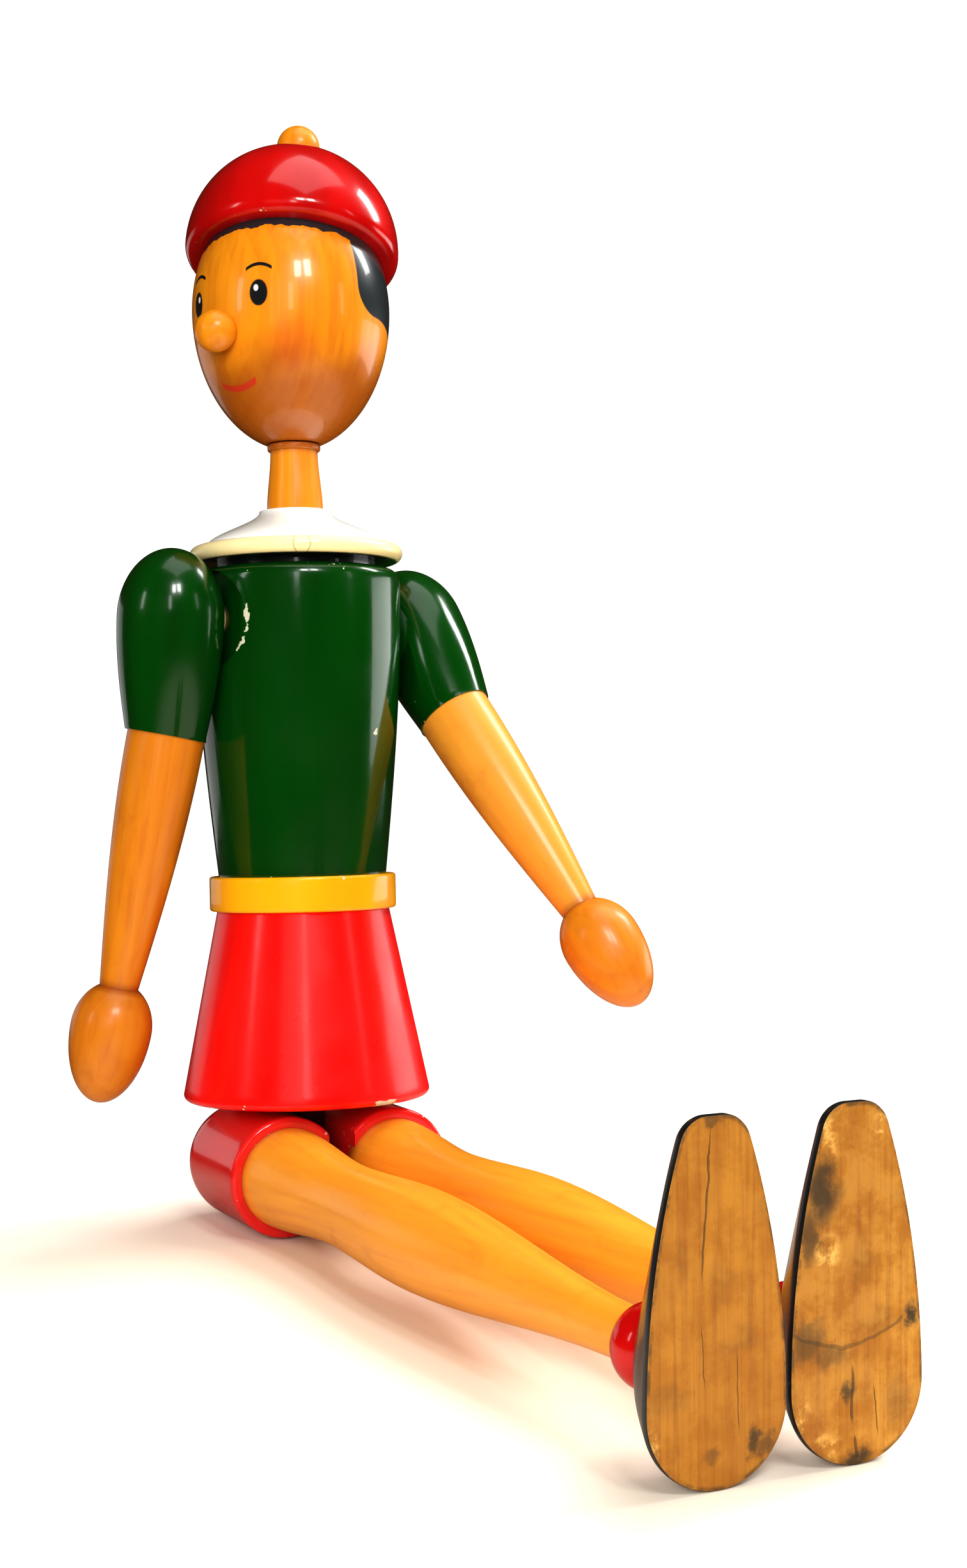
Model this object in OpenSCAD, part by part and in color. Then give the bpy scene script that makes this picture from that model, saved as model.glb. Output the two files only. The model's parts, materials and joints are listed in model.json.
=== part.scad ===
// Jointed wooden peg doll, sitting with its legs straight out in front.
// Turned pieces on dowels: the head turns on the neck, each arm swings on a
// shoulder peg and each leg swings on the hip axle. Sizes are in millimetres.
// The doll faces -Y, its left side is +X and the floor is Z = 0.

/* [Pose] */
// How far the trunk leans back from upright, degrees
trunk_lean = 2.8; // [0:0.2:5]
// How far round the torso is glued on the hips, degrees
torso_turn = 12; // [0:1:20]
// How far the head is turned from the torso's front, degrees
head_turn = -76; // [-180:1:180]
// Right arm swing behind the torso's side line, degrees
right_arm_swing = 6.7; // [-60:0.1:60]
// Left arm swing behind the torso's side line, degrees
left_arm_swing = -35.5; // [-60:0.1:60]

/* [Place on the floor] */
// Sideways place of the hip axle from the middle of the outline
axle_x = -6.42; // [-20:0.01:20]
// Forward and back place of the hip axle from the middle of the outline
axle_y = 117.15; // [80:0.01:150]

/* [Skirt and belt] */
// Skirt radius at the hem
hem_r = 39.2; // [37:0.1:42]
// Skirt radius under the belt
waist_r = 27.5; // [25:0.1:29]
// Skirt height
skirt_h = 60; // [55:0.5:70]
// Rounding of the hem
hem_round = 2; // [1:0.1:3]
// Gap between the thighs and the hem
hem_gap = 1.3; // [1:0.1:3]
// Belt radius
belt_r = 29.8; // [28.5:0.1:32]
// Belt height
belt_h = 11; // [8:0.5:15]
// Rounding of the belt's edges
belt_round = 0.8; // [0.4:0.1:1.5]

/* [Torso] */
// Torso radius at the belt
torso_low_r = 26.8; // [24:0.1:28]
// Torso radius at the shoulders
torso_top_r = 33.2; // [32:0.1:34]
// Torso height
torso_h = 97.5; // [90:0.5:110]
// Rounding of the torso's top edge
torso_round = 4; // [2:0.5:5]
// Shoulder pegs below the torso's top
shoulder_drop = 16.8; // [16.4:0.1:22]
// Depth of the round seat cut for each arm
arm_seat_depth = 3.2; // [2.6:0.1:4]
// Radius of the round seat cut for each arm
arm_seat_r = 15.5; // [15:0.1:16]

/* [Collar and neck] */
// Collar radius at its rim
collar_r = 34.2; // [32:0.1:34.4]
// Collar height
collar_h = 19.2; // [16:0.2:22]
// Thickness of the collar's rim
collar_rim_h = 5.4; // [4:0.1:7]
// How far the rim's round turns in over the bell, degrees
collar_rim_turn = 60; // [45:1:75]
// Height of the shadow gap under the rim
collar_gap = 2.4; // [1.5:0.1:3]
// Radius of the collar's foot on the torso
collar_foot_r = 25.5; // [25:0.1:27]
// Collar radius round the neck
collar_top_r = 11.5; // [10.5:0.1:13]
// Neck radius in the collar
neck_r = 9; // [8.5:0.1:9.6]
// Neck radius under its top ring
neck_top_r = 7.6; // [7:0.1:8]
// Visible height of the neck above the collar
neck_h = 21.6; // [16:0.2:26]
// Radius of the ring at the top of the neck
neck_ring_r = 8.5; // [8.2:0.1:9]
// Height of the ring at the top of the neck
neck_ring_h = 2.2; // [1.5:0.1:3]

/* [Head] */
// Head radius at its widest
head_r = 31.7; // [30:0.1:33]
// Height from the chin flat to the widest part
head_low_h = 42.2; // [40:0.2:46]
// Radius of the flat under the chin
chin_r = 9.4; // [9.2:0.1:10]
// Height of the head's crown above its widest part, before the cap seat is cut
head_crown_h = 40; // [38:0.5:44]
// Nose ball radius
nose_r = 6.5; // [5:0.1:8]
// Nose height above the chin flat
nose_h = 31; // [28:0.5:34]
// How much of the nose ball is sunk in the face
nose_sink = 2.2; // [1:0.1:3]

/* [Cap] */
// Cap radius at the brim
cap_r = 34.4; // [33:0.1:36]
// Cap radius at its lower edge
cap_low_r = 31.6; // [31:0.1:32.5]
// Height of the brim's round lip
cap_lip_h = 4; // [3:0.2:6]
// Cap height over its lower edge
cap_h = 38; // [34:0.5:42]
// Radius of the flat under the knob
cap_flat_r = 4.4; // [4:0.1:5]
// Cap tilt back off the forehead, degrees
cap_tilt = 16.5; // [8:0.5:18]
// How far the tilt goes round to the doll's right, degrees
cap_tilt_side = 28; // [0:1:40]
// Height of the cap seat over the chin flat
cap_seat_h = 59.2; // [58:0.2:60.4]
// How far the cap sits back on its seat
cap_shift = 2; // [1:0.2:3]
// Knob ball radius
knob_r = 7; // [5.5:0.1:9]

/* [Arms] */
// Sleeve radius at the shoulder
sleeve_r = 16.5; // [16:0.1:17]
// Height of the sleeve's dome over the shoulder peg
sleeve_dome_h = 21.6; // [20:0.2:24]
// Sleeve length below the shoulder peg
sleeve_len = 36.4; // [32:0.2:42]
// Sleeve radius at its mouth
sleeve_mouth_r = 12.4; // [12.2:0.1:13]
// How far each forearm is set outward, degrees
elbow_angle = 9.6; // [4:0.2:14]
// Forearm length
forearm_len = 79; // [70:0.5:90]
// Forearm radius at the sleeve
forearm_r = 12; // [11:0.1:12]
// Forearm radius at the wrist
wrist_r = 6; // [5.5:0.1:7]
// Hand radius at its widest
hand_r = 12.5; // [11:0.1:14]
// Hand length
hand_len = 36; // [32:0.5:42]
// Distance of the widest part of the hand from the wrist
hand_wide_at = 13; // [11:0.5:15]

/* [Legs] */
// Thigh cuff radius
cuff_r = 18.5; // [18:0.1:19.5]
// Thigh cuff length from the hip axle to its mouth
cuff_len = 36; // [34:0.2:40]
// Rounding of the cuff's mouth
cuff_round = 1.4; // [0.8:0.1:1.6]
// Depth of the leg's seat in the cuff's mouth
cuff_seat = 3; // [2:0.1:4]
// Length from the hip axle to the sole
leg_len = 277; // [260:0.5:300]
// Leg radius at the thigh
thigh_r = 15.4; // [14.5:0.1:16]
// Leg radius above the knee, where it is thinnest
knee_r = 12; // [11:0.1:13]
// Distance of the knee's thin part from the hip axle
knee_at = 82; // [75:0.5:90]
// Leg radius at the calf
calf_r = 13.7; // [13.1:0.1:15]
// Distance of the calf's thick part from the hip axle
calf_at = 131; // [120:0.5:140]
// Leg radius at the ankle
ankle_r = 6.2; // [5.8:0.1:7]
// Radius of the round ankle bead
bead_r = 10; // [9:0.1:11]
// Length of the ankle bead
bead_len = 13; // [10:0.5:15]

/* [Shoes] */
// Sole length
sole_len = 78; // [72:0.5:84]
// Sole radius at the heel
heel_r = 17.2; // [16:0.1:17.5]
// Radius of the long curve of each side of the sole
sole_side_r = 185; // [160:1:240]
// Corner radius at the toe
toe_corner_r = 6.8; // [5:0.1:8]
// Height of the leg's centre line over the heel
ankle_h = 24; // [22:0.2:26]
// Shoe height at the ankle
shoe_h = 19; // [17:0.2:22]
// Straight height of the shoe's side above the sole
welt_h = 2.4; // [2:0.1:5]
// Step from the shoe's side to its upper
welt_step = 0.3; // [0.2:0.1:0.6]
// Radius of the upper at the ankle bead
instep_r = 8.2; // [7.6:0.1:9]
// Gap between the two shoes
shoe_gap = 1; // [0.8:0.1:3]

/* [Dowels, pins and fits] */
// Radius of the waist dowel
waist_dowel_r = 8; // [6:0.1:9]
// Depth of the waist dowel in the skirt and in the torso
waist_dowel_in = 20; // [14:0.5:24]
// Radius of the neck's tenon in the torso
neck_tenon_r = 8; // [6:0.1:8.4]
// Depth of the neck's tenon in the torso
neck_tenon_in = 20; // [14:0.5:22]
// Radius of the spigot the head turns on
spigot_r = 6; // [5.5:0.1:6.8]
// Length of the spigot in the head
spigot_len = 26; // [22:0.5:30]
// Radius of the cap dowel
cap_dowel_r = 5; // [4:0.1:6]
// Depth of the cap dowel in the head and in the cap
cap_dowel_in = 13; // [10:0.5:15]
// Radius of the small tenons on the nose and the knob
small_tenon_r = 3; // [2.5:0.1:3.4]
// Length of the small tenons on the nose and the knob
small_tenon_len = 10; // [7:0.5:12]
// Radius of the shoulder pegs
shoulder_peg_r = 5; // [4.5:0.1:5.5]
// Depth of the shoulder pegs in the torso
peg_in_torso = 16; // [14:0.5:17]
// Depth of the shoulder pegs in the sleeves
peg_in_sleeve = 15; // [12:0.5:18]
// Radius of the forearm's tenon in the sleeve
elbow_tenon_r = 5.5; // [5:0.1:6.5]
// Length of the forearm's tenon in the sleeve
elbow_tenon_len = 16; // [12:0.5:18]
// Radius of the forearm's tenon in the hand
wrist_tenon_r = 3.4; // [3:0.1:4]
// Length of the forearm's tenon in the hand
wrist_tenon_len = 13; // [10:0.5:16]
// Radius of the hip axle
axle_r = 4; // [3.6:0.1:4.4]
// Depth of the hip axle in each thigh cuff
axle_in_cuff = 22; // [20:0.5:24]
// Radius of the leg's tenon in the thigh cuff
thigh_tenon_r = 8; // [7:0.1:9]
// Length of the leg's tenon in the thigh cuff
thigh_tenon_len = 17; // [14:0.5:18]
// Radius of the leg's tenon in the ankle bead and shoe
ankle_tenon_r = 4; // [3.5:0.1:4.6]
// Depth of the leg's tenon in the shoe
ankle_tenon_in = 11; // [8:0.5:13]
// Thickness of the hip block's tongue
tongue_t = 8; // [6:0.2:10]
// Width of the hip block's tongue
tongue_w = 25; // [20:0.5:28]
// Depth of the tongue in the skirt
tongue_in = 18; // [14:0.5:22]
// How far the hip axle sits behind the trunk's centre line
axle_back = 8; // [4:0.5:10]
// Radius of the steel retaining pins
pin_r = 1; // [0.8:0.1:1.2]
// Length of the steel pins in the torso
shoulder_pin_len = 24; // [23.5:0.5:28]
// Length of the steel pin in the head
head_pin_len = 27; // [22:0.5:27]
// Length of the steel pins in the thigh cuffs
hip_pin_len = 20; // [16:0.5:20.5]
// Depth of the ring groove each pin runs in
groove_depth = 1.1; // [0.8:0.1:1.4]
// Room between a pin and its groove
pin_room = 0.15; // [0.1:0.05:0.3]
// Height of the head pin above the chin flat
head_pin_h = 12; // [10:0.5:14]
// Distance of each groove from the hip axle's end
axle_groove_in = 5; // [4:0.5:7]
// Small chamfer on turned ends
chamfer = 0.6; // [0.4:0.1:0.8]
// Radial gap of a glued joint
glue_gap = 0.05; // [0.02:0.01:0.08]
// Radial gap of a turning joint
turn_gap = 0.08; // [0.04:0.01:0.1]
// Gap between faces that turn past each other
face_gap = 0.3; // [0.2:0.05:0.5]
// Gap round the sleeve's boss in the arm seat
boss_gap = 0.5; // [0.3:0.1:1]
// Gap left at the end of a blind hole
end_gap = 0.4; // [0.2:0.1:0.8]

/* [Hidden] */
$fn = 96;
// Steps along a curve and round an edge
STEPS = 8;
EDGE_STEPS = 4;
// Sides of the sole's long curves, and of the round shapes joined into a shoe's upper
SOLE_FN = 240;
HULL_FN = 40;
// Length of cutters that pass right through, and how far a cutter starts outside a face
BIG = 200;
CUT = 1;

// Heights along the trunk, from the hip axle
hem_z = cuff_r + hem_gap;
belt_z = hem_z + skirt_h;
torso_z = belt_z + belt_h;
torso_top_z = torso_z + torso_h;
shoulder_z = torso_top_z - shoulder_drop;
chin_z = torso_top_z + collar_h + neck_h + face_gap;
// Flat of the arm seats and the arm's centre line, sideways from the trunk's centre line
arm_seat_x = torso_top_r - arm_seat_depth;
arm_x = arm_seat_x + face_gap + sleeve_r;
// Legs side by side, and the thigh's flat beside the tongue
leg_x = heel_r + shoe_gap / 2;
thigh_flat_x = tongue_t / 2 + face_gap;
// Legs rise a little, so that the thighs and the heels both touch the floor
heel_reach = leg_len - welt_h;
leg_rise = atan2(ankle_h, heel_reach) - asin(cuff_r / norm([heel_reach, ankle_h]));
// Places along a leg, from the hip axle
leg_top = cuff_len - cuff_seat;
bead_at = leg_len - shoe_h - bead_len;
// Retaining pins: half width of the groove, and how far each pin passes from the turning axis
groove_half = pin_r + pin_room;
spigot_pin_off = spigot_r - groove_depth + pin_r + pin_room;
peg_pin_off = shoulder_peg_r - groove_depth + pin_r + pin_room;
axle_pin_off = axle_r - groove_depth + pin_r + pin_room;
peg_pin_x = arm_seat_x - peg_in_torso / 2;
axle_pin_x = thigh_flat_x + axle_in_cuff - axle_groove_in;
// Head radius at the height of the nose, which sets the nose's place
chin_rise = sqrt(1 - pow(chin_r / head_r, 2));
nose_face_r = head_r * sqrt(1 - pow((head_low_h - nose_h) * chin_rise / head_low_h, 2));

// Eases from 0 to 1 with level ends
function ease(t) = t * t * (3 - 2 * t);

// Points of an elliptic arc about [cr, cz]
function arc_points(cr, cz, ar, az, a0, a1, n) =
    [for (i = [0:n]) let (a = a0 + (a1 - a0) * i / n) [cr + ar * cos(a), cz + az * sin(a)]];

// Points eased from one [radius, height] to the next, without the first
function eased(p, q, n) =
    [for (i = [1:n]) [p[0] + (q[0] - p[0]) * ease(i / n), p[1] + (q[1] - p[1]) * i / n]];

module turned(points) {
    rotate_extrude() polygon(points);
}

// A round bar along X, from x0 to x1
module bar_x(r, x0, x1) {
    translate([x0, 0, 0]) rotate([0, 90, 0]) cylinder(r = r, h = x1 - x0);
}

module at_axle() {
    translate([axle_x, axle_y, cuff_r]) children();
}

module at_trunk() {
    at_axle() rotate([-trunk_lean, 0, 0]) translate([0, -axle_back, 0]) children();
}

module at_torso() {
    at_trunk() rotate([0, 0, torso_turn]) children();
}

module at_head() {
    at_torso() translate([0, 0, chin_z]) rotate([0, 0, head_turn]) children();
}

module at_cap() {
    at_head() translate([0, 0, cap_seat_h]) cap_lean() children();
}

module cap_lean() {
    rotate([0, 0, 180 + cap_tilt_side]) rotate([cap_tilt, 0, 0]) translate([0, -cap_shift, 0]) children();
}

// side is 1 for the doll's left and -1 for its right
module at_arm(side, swing) {
    at_torso() translate([side * arm_x, 0, shoulder_z]) rotate([swing, 0, 0]) children();
}

module at_elbow(side) {
    translate([0, 0, -sleeve_len]) rotate([0, -side * elbow_angle, 0]) children();
}

// Leg frame: Z runs from the hip axle to the sole and Y points up
module at_leg(side) {
    at_axle() translate([side * leg_x, 0, 0]) rotate([90 - leg_rise, 0, 0]) children();
}

module hip_block() {
    color("burlywood") at_trunk() difference() {
        union() {
            translate([0, axle_back, 0]) bar_x(tongue_w / 2, -tongue_t / 2, tongue_t / 2);
            translate([-tongue_t / 2, axle_back - tongue_w / 2, 0])
                cube([tongue_t, tongue_w, hem_z + tongue_in]);
        }
        translate([0, axle_back, 0]) bar_x(axle_r + glue_gap, -tongue_t, tongue_t);
    }
}

module hip_axle() {
    half = thigh_flat_x + axle_in_cuff;
    color("tan") at_axle() difference() {
        bar_x(axle_r, -half, half);
        for (side = [-1, 1]) translate([side * axle_pin_x, 0, 0]) pin_groove(axle_r);
    }
}

// The ring cut out of a peg of radius r where its retaining pin passes
module pin_groove(r) {
    difference() {
        bar_x(r + CUT, -groove_half, groove_half);
        bar_x(r - groove_depth, -groove_half - CUT, groove_half + CUT);
    }
}

module skirt() {
    profile = concat([[0, hem_z]],
        arc_points(hem_r - hem_round, hem_z + hem_round, hem_round, hem_round, -90, 0, EDGE_STEPS),
        [[waist_r, belt_z], [0, belt_z]]);
    slot_t = tongue_t + 2 * glue_gap;
    slot_w = tongue_w + 2 * glue_gap;
    color("firebrick") at_trunk() difference() {
        turned(profile);
        translate([-slot_t / 2, axle_back - slot_w / 2, 0])
            cube([slot_t, slot_w, hem_z + tongue_in + end_gap]);
        translate([0, 0, belt_z - waist_dowel_in - end_gap]) cylinder(r = waist_dowel_r + glue_gap, h = BIG);
    }
}

module belt() {
    rim = belt_r - belt_round;
    profile = concat([[waist_dowel_r + glue_gap, belt_z]],
        arc_points(rim, belt_z + belt_round, belt_round, belt_round, -90, 0, EDGE_STEPS),
        arc_points(rim, torso_z - belt_round, belt_round, belt_round, 0, 90, EDGE_STEPS),
        [[waist_dowel_r + glue_gap, torso_z]]);
    color("goldenrod") at_trunk() turned(profile);
}

module waist_dowel() {
    color("tan") at_trunk() translate([0, 0, belt_z - waist_dowel_in])
        cylinder(r = waist_dowel_r, h = belt_h + 2 * waist_dowel_in);
}

module torso() {
    side = [for (i = [0:STEPS]) let (t = i / STEPS)
        [torso_low_r + (torso_top_r - torso_low_r) * sin(90 * t), torso_z + (torso_h - torso_round) * t]];
    profile = concat([[0, torso_z]], side,
        arc_points(torso_top_r - torso_round, torso_top_z - torso_round, torso_round, torso_round,
            90 / EDGE_STEPS, 90, EDGE_STEPS - 1),
        [[0, torso_top_z]]);
    color("darkgreen") at_torso() difference() {
        turned(profile);
        translate([0, 0, torso_z - CUT])
            cylinder(r = waist_dowel_r + glue_gap, h = waist_dowel_in + end_gap + CUT);
        translate([0, 0, torso_top_z - neck_tenon_in - end_gap])
            cylinder(r = neck_tenon_r + glue_gap, h = BIG);
        for (s = [0, 180]) rotate([0, 0, s]) arm_seat();
        shoulder_pin_bars(pin_r + glue_gap, torso_top_z + CUT);
    }
}

// What is cut from the torso for one arm: the round seat, then the peg's hole
module arm_seat() {
    translate([0, 0, shoulder_z]) {
        bar_x(arm_seat_r, arm_seat_x, BIG);
        bar_x(shoulder_peg_r + turn_gap, arm_seat_x - peg_in_torso - end_gap, BIG);
    }
}

module shoulder_pin_bars(r, top) {
    for (s = [0, 180]) rotate([0, 0, s])
        translate([peg_pin_x, peg_pin_off, torso_top_z - shoulder_pin_len])
            cylinder(r = r, h = top - torso_top_z + shoulder_pin_len);
}

module shoulder_pins() {
    color("silver") at_torso() shoulder_pin_bars(pin_r, torso_top_z);
}

module collar() {
    rim_low = torso_top_z + collar_gap;
    rim_top = rim_low + collar_rim_h;
    half = collar_rim_h / 2;
    bore = neck_r + glue_gap;
    profile = concat([[bore, torso_top_z], [collar_foot_r, torso_top_z], [collar_foot_r, rim_low]],
        arc_points(collar_r - half, rim_low + half, half, half, -90, collar_rim_turn, STEPS),
        [[collar_r - collar_rim_h, rim_top]],
        eased([collar_r - collar_rim_h, rim_top], [collar_top_r, torso_top_z + collar_h], STEPS),
        [[bore, torso_top_z + collar_h]]);
    color("white") at_torso() turned(profile);
}

module neck() {
    top = torso_top_z + collar_h + neck_h;
    ring = top - neck_ring_h;
    profile = concat([[0, torso_top_z - neck_tenon_in], [neck_tenon_r, torso_top_z - neck_tenon_in],
            [neck_tenon_r, torso_top_z], [neck_r, torso_top_z], [neck_r, torso_top_z + collar_h]],
        eased([neck_r, torso_top_z + collar_h], [neck_top_r, ring], STEPS),
        [[neck_ring_r - chamfer, ring], [neck_ring_r, ring + chamfer], [neck_ring_r, top], [spigot_r, top],
            [spigot_r, top + spigot_len], [0, top + spigot_len]]);
    color("peru") at_torso() difference() {
        turned(profile);
        translate([0, 0, chin_z + head_pin_h]) rotate([0, -90, 0]) pin_groove(spigot_r);
    }
}

module head() {
    profile = concat([[0, 0]],
        arc_points(0, head_low_h, head_r, head_low_h / chin_rise, -asin(chin_rise), 0, 2 * STEPS),
        arc_points(0, head_low_h, head_r, head_crown_h, 90 / STEPS, 90, STEPS - 1));
    color("sandybrown") at_head() difference() {
        turned(profile);
        translate([0, 0, -CUT]) cylinder(r = spigot_r + turn_gap, h = spigot_len + end_gap + CUT);
        translate([0, 0, cap_seat_h]) cap_lean() translate([-BIG / 2, -BIG / 2, 0]) cube(BIG);
        translate([0, 0, cap_seat_h]) cap_lean() translate([0, 0, -cap_dowel_in - end_gap])
            cylinder(r = cap_dowel_r + glue_gap, h = BIG);
        nose_place() nose_form(glue_gap, small_tenon_len + end_gap);
        head_pin_place() cylinder(r = pin_r + glue_gap, h = BIG);
    }
}

module nose_place() {
    translate([0, -nose_face_r, nose_h]) rotate([90, 0, 0]) children();
}

// Nose ball on its tenon: grow is added all round, and the tenon goes deep into the face
module nose_form(grow, deep) {
    translate([0, 0, -deep]) cylinder(r = small_tenon_r + grow, h = deep);
    translate([0, 0, nose_r - nose_sink]) sphere(r = nose_r + grow);
}

module nose() {
    color("sandybrown") at_head() nose_place() union() {
        nose_form(0, small_tenon_len);
    }
}

module head_pin_place() {
    translate([spigot_pin_off, 0, head_pin_h]) rotate([-90, 0, 0]) translate([0, 0, -spigot_r]) children();
}

module head_pin() {
    color("silver") at_head() head_pin_place() cylinder(r = pin_r, h = head_pin_len);
}

module cap() {
    lip = cap_r - cap_low_r;
    top = asin(sqrt(1 - pow(cap_flat_r / cap_r, 2)));
    dome_h = (cap_h - cap_lip_h) / sin(top);
    profile = concat([[0, 0]],
        arc_points(cap_low_r, cap_lip_h, lip, cap_lip_h, -90, 0, EDGE_STEPS),
        arc_points(0, cap_lip_h, cap_r, dome_h, top / (2 * STEPS), top, 2 * STEPS - 1),
        [[0, cap_h]]);
    color("red") at_cap() difference() {
        turned(profile);
        translate([0, 0, -CUT]) cylinder(r = cap_dowel_r + glue_gap, h = cap_dowel_in + end_gap + CUT);
        translate([0, 0, cap_h - small_tenon_len - end_gap]) cylinder(r = small_tenon_r + glue_gap, h = BIG);
    }
}

module cap_dowel() {
    color("tan") at_cap() translate([0, 0, -cap_dowel_in]) cylinder(r = cap_dowel_r, h = 2 * cap_dowel_in);
}

module cap_knob() {
    rise = sqrt(pow(knob_r, 2) - pow(cap_flat_r, 2));
    color("sandybrown") at_cap() translate([0, 0, cap_h]) union() {
        translate([0, 0, -small_tenon_len]) cylinder(r = small_tenon_r, h = small_tenon_len + rise);
        intersection() {
            translate([0, 0, rise]) sphere(r = knob_r);
            cylinder(r = BIG, h = BIG);
        }
    }
}

module sleeve(side, swing) {
    drop = sleeve_mouth_r * tan(elbow_angle) + CUT;
    low = [for (i = [0:STEPS]) let (t = 1 - i / STEPS)
        [sleeve_mouth_r + (sleeve_r - sleeve_mouth_r) * cos(90 * t), -sleeve_len * t]];
    profile = concat([[0, -sleeve_len - drop], [sleeve_mouth_r, -sleeve_len - drop]], low,
        arc_points(0, 0, sleeve_r, sleeve_dome_h, 90 / STEPS, 90, STEPS - 1));
    color("darkgreen") at_arm(side, swing) difference() {
        turned(profile);
        at_elbow(side) translate([-BIG / 2, -BIG / 2, -BIG]) cube(BIG);
        at_elbow(side) translate([0, 0, -CUT])
            cylinder(r = elbow_tenon_r + glue_gap, h = elbow_tenon_len + end_gap + CUT);
        mirror([side > 0 ? 1 : 0, 0, 0]) sleeve_inner_cuts();
    }
}

// The inner side of a sleeve is planed to pass the torso, all but a round boss that lies in the arm seat
module sleeve_inner_cuts() {
    bar_x(shoulder_peg_r + glue_gap, sleeve_r - peg_in_sleeve - end_gap, BIG);
    difference() {
        translate([arm_x - torso_top_r - face_gap, -BIG / 2, -BIG / 2]) cube(BIG);
        bar_x(arm_seat_r - boss_gap, 0, 2 * BIG);
    }
}

module shoulder_peg(side, swing) {
    inner = arm_x - arm_seat_x + peg_in_torso;
    groove = arm_x - peg_pin_x;
    color("tan") at_arm(side, swing) mirror([side > 0 ? 1 : 0, 0, 0]) difference() {
        bar_x(shoulder_peg_r, sleeve_r - peg_in_sleeve, inner);
        translate([groove, 0, 0]) pin_groove(shoulder_peg_r);
    }
}

module forearm(side, swing) {
    shaft = [for (i = [0:STEPS]) let (t = i / STEPS)
        [wrist_r + (forearm_r - wrist_r) * cos(90 * t), -forearm_len * t]];
    profile = concat([[0, elbow_tenon_len], [elbow_tenon_r, elbow_tenon_len], [elbow_tenon_r, 0]], shaft,
        [[wrist_tenon_r, -forearm_len], [wrist_tenon_r, -forearm_len - wrist_tenon_len],
            [0, -forearm_len - wrist_tenon_len]]);
    color("sandybrown") at_arm(side, swing) at_elbow(side) turned(profile);
}

module hand(side, swing) {
    start = acos(wrist_r / hand_r);
    top_h = hand_wide_at / sin(start);
    profile = concat([[0, 0]],
        arc_points(0, -hand_wide_at, hand_r, top_h, start, 0, STEPS),
        arc_points(0, -hand_wide_at, hand_r, hand_len - hand_wide_at, -90 / STEPS, -90, STEPS - 1));
    color("sandybrown") at_arm(side, swing) at_elbow(side) translate([0, 0, -forearm_len]) difference() {
        turned(profile);
        translate([0, 0, -wrist_tenon_len - end_gap]) cylinder(r = wrist_tenon_r + glue_gap, h = BIG);
    }
}

module thigh_cuff(side) {
    rim = cuff_r - cuff_round;
    profile = concat(arc_points(0, 0, cuff_r, cuff_r, -90, 0, STEPS),
        arc_points(rim, cuff_len - cuff_round, cuff_round, cuff_round, 0, 90, EDGE_STEPS),
        [[0, cuff_len]]);
    flat = leg_x - thigh_flat_x;
    color("red") at_leg(side) difference() {
        turned(profile);
        mirror([side > 0 ? 1 : 0, 0, 0]) {
            translate([flat, -BIG / 2, -BIG / 2]) cube(BIG);
            bar_x(axle_r + turn_gap, flat - axle_in_cuff - end_gap, BIG);
            hip_pin_place() cylinder(r = pin_r + glue_gap, h = BIG);
        }
        translate([0, 0, leg_top]) cylinder(r = thigh_r + glue_gap, h = BIG);
        translate([0, 0, leg_top - thigh_tenon_len - end_gap])
            cylinder(r = thigh_tenon_r + glue_gap, h = BIG);
    }
}

// The pin goes in from the back of the cuff and passes beside the axle
module hip_pin_place() {
    translate([leg_x - axle_pin_x, axle_pin_off, 0]) rotate([180, 0, 0])
        translate([0, 0, -axle_r]) children();
}

module hip_pin(side) {
    color("silver") at_leg(side) mirror([side > 0 ? 1 : 0, 0, 0]) hip_pin_place()
        cylinder(r = pin_r, h = hip_pin_len);
}

module leg(side) {
    profile = concat([[0, leg_top - thigh_tenon_len], [thigh_tenon_r, leg_top - thigh_tenon_len],
            [thigh_tenon_r, leg_top], [thigh_r, leg_top]],
        eased([thigh_r, leg_top], [knee_r, knee_at], STEPS),
        eased([knee_r, knee_at], [calf_r, calf_at], STEPS),
        eased([calf_r, calf_at], [ankle_r, bead_at], 2 * STEPS),
        [[ankle_tenon_r, bead_at], [ankle_tenon_r, leg_len - shoe_h + ankle_tenon_in],
            [0, leg_len - shoe_h + ankle_tenon_in]]);
    color("sandybrown") at_leg(side) turned(profile);
}

module ankle_bead(side) {
    bore = ankle_tenon_r + glue_gap;
    end_r = ankle_r + chamfer;
    start = acos(end_r / bead_r);
    profile = concat([[bore, bead_at]],
        arc_points(0, bead_at + bead_len / 2, bead_r, bead_len / 2 / sin(start), -start, start, STEPS),
        [[bore, bead_at + bead_len]]);
    color("red") at_leg(side) turned(profile);
}

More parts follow.
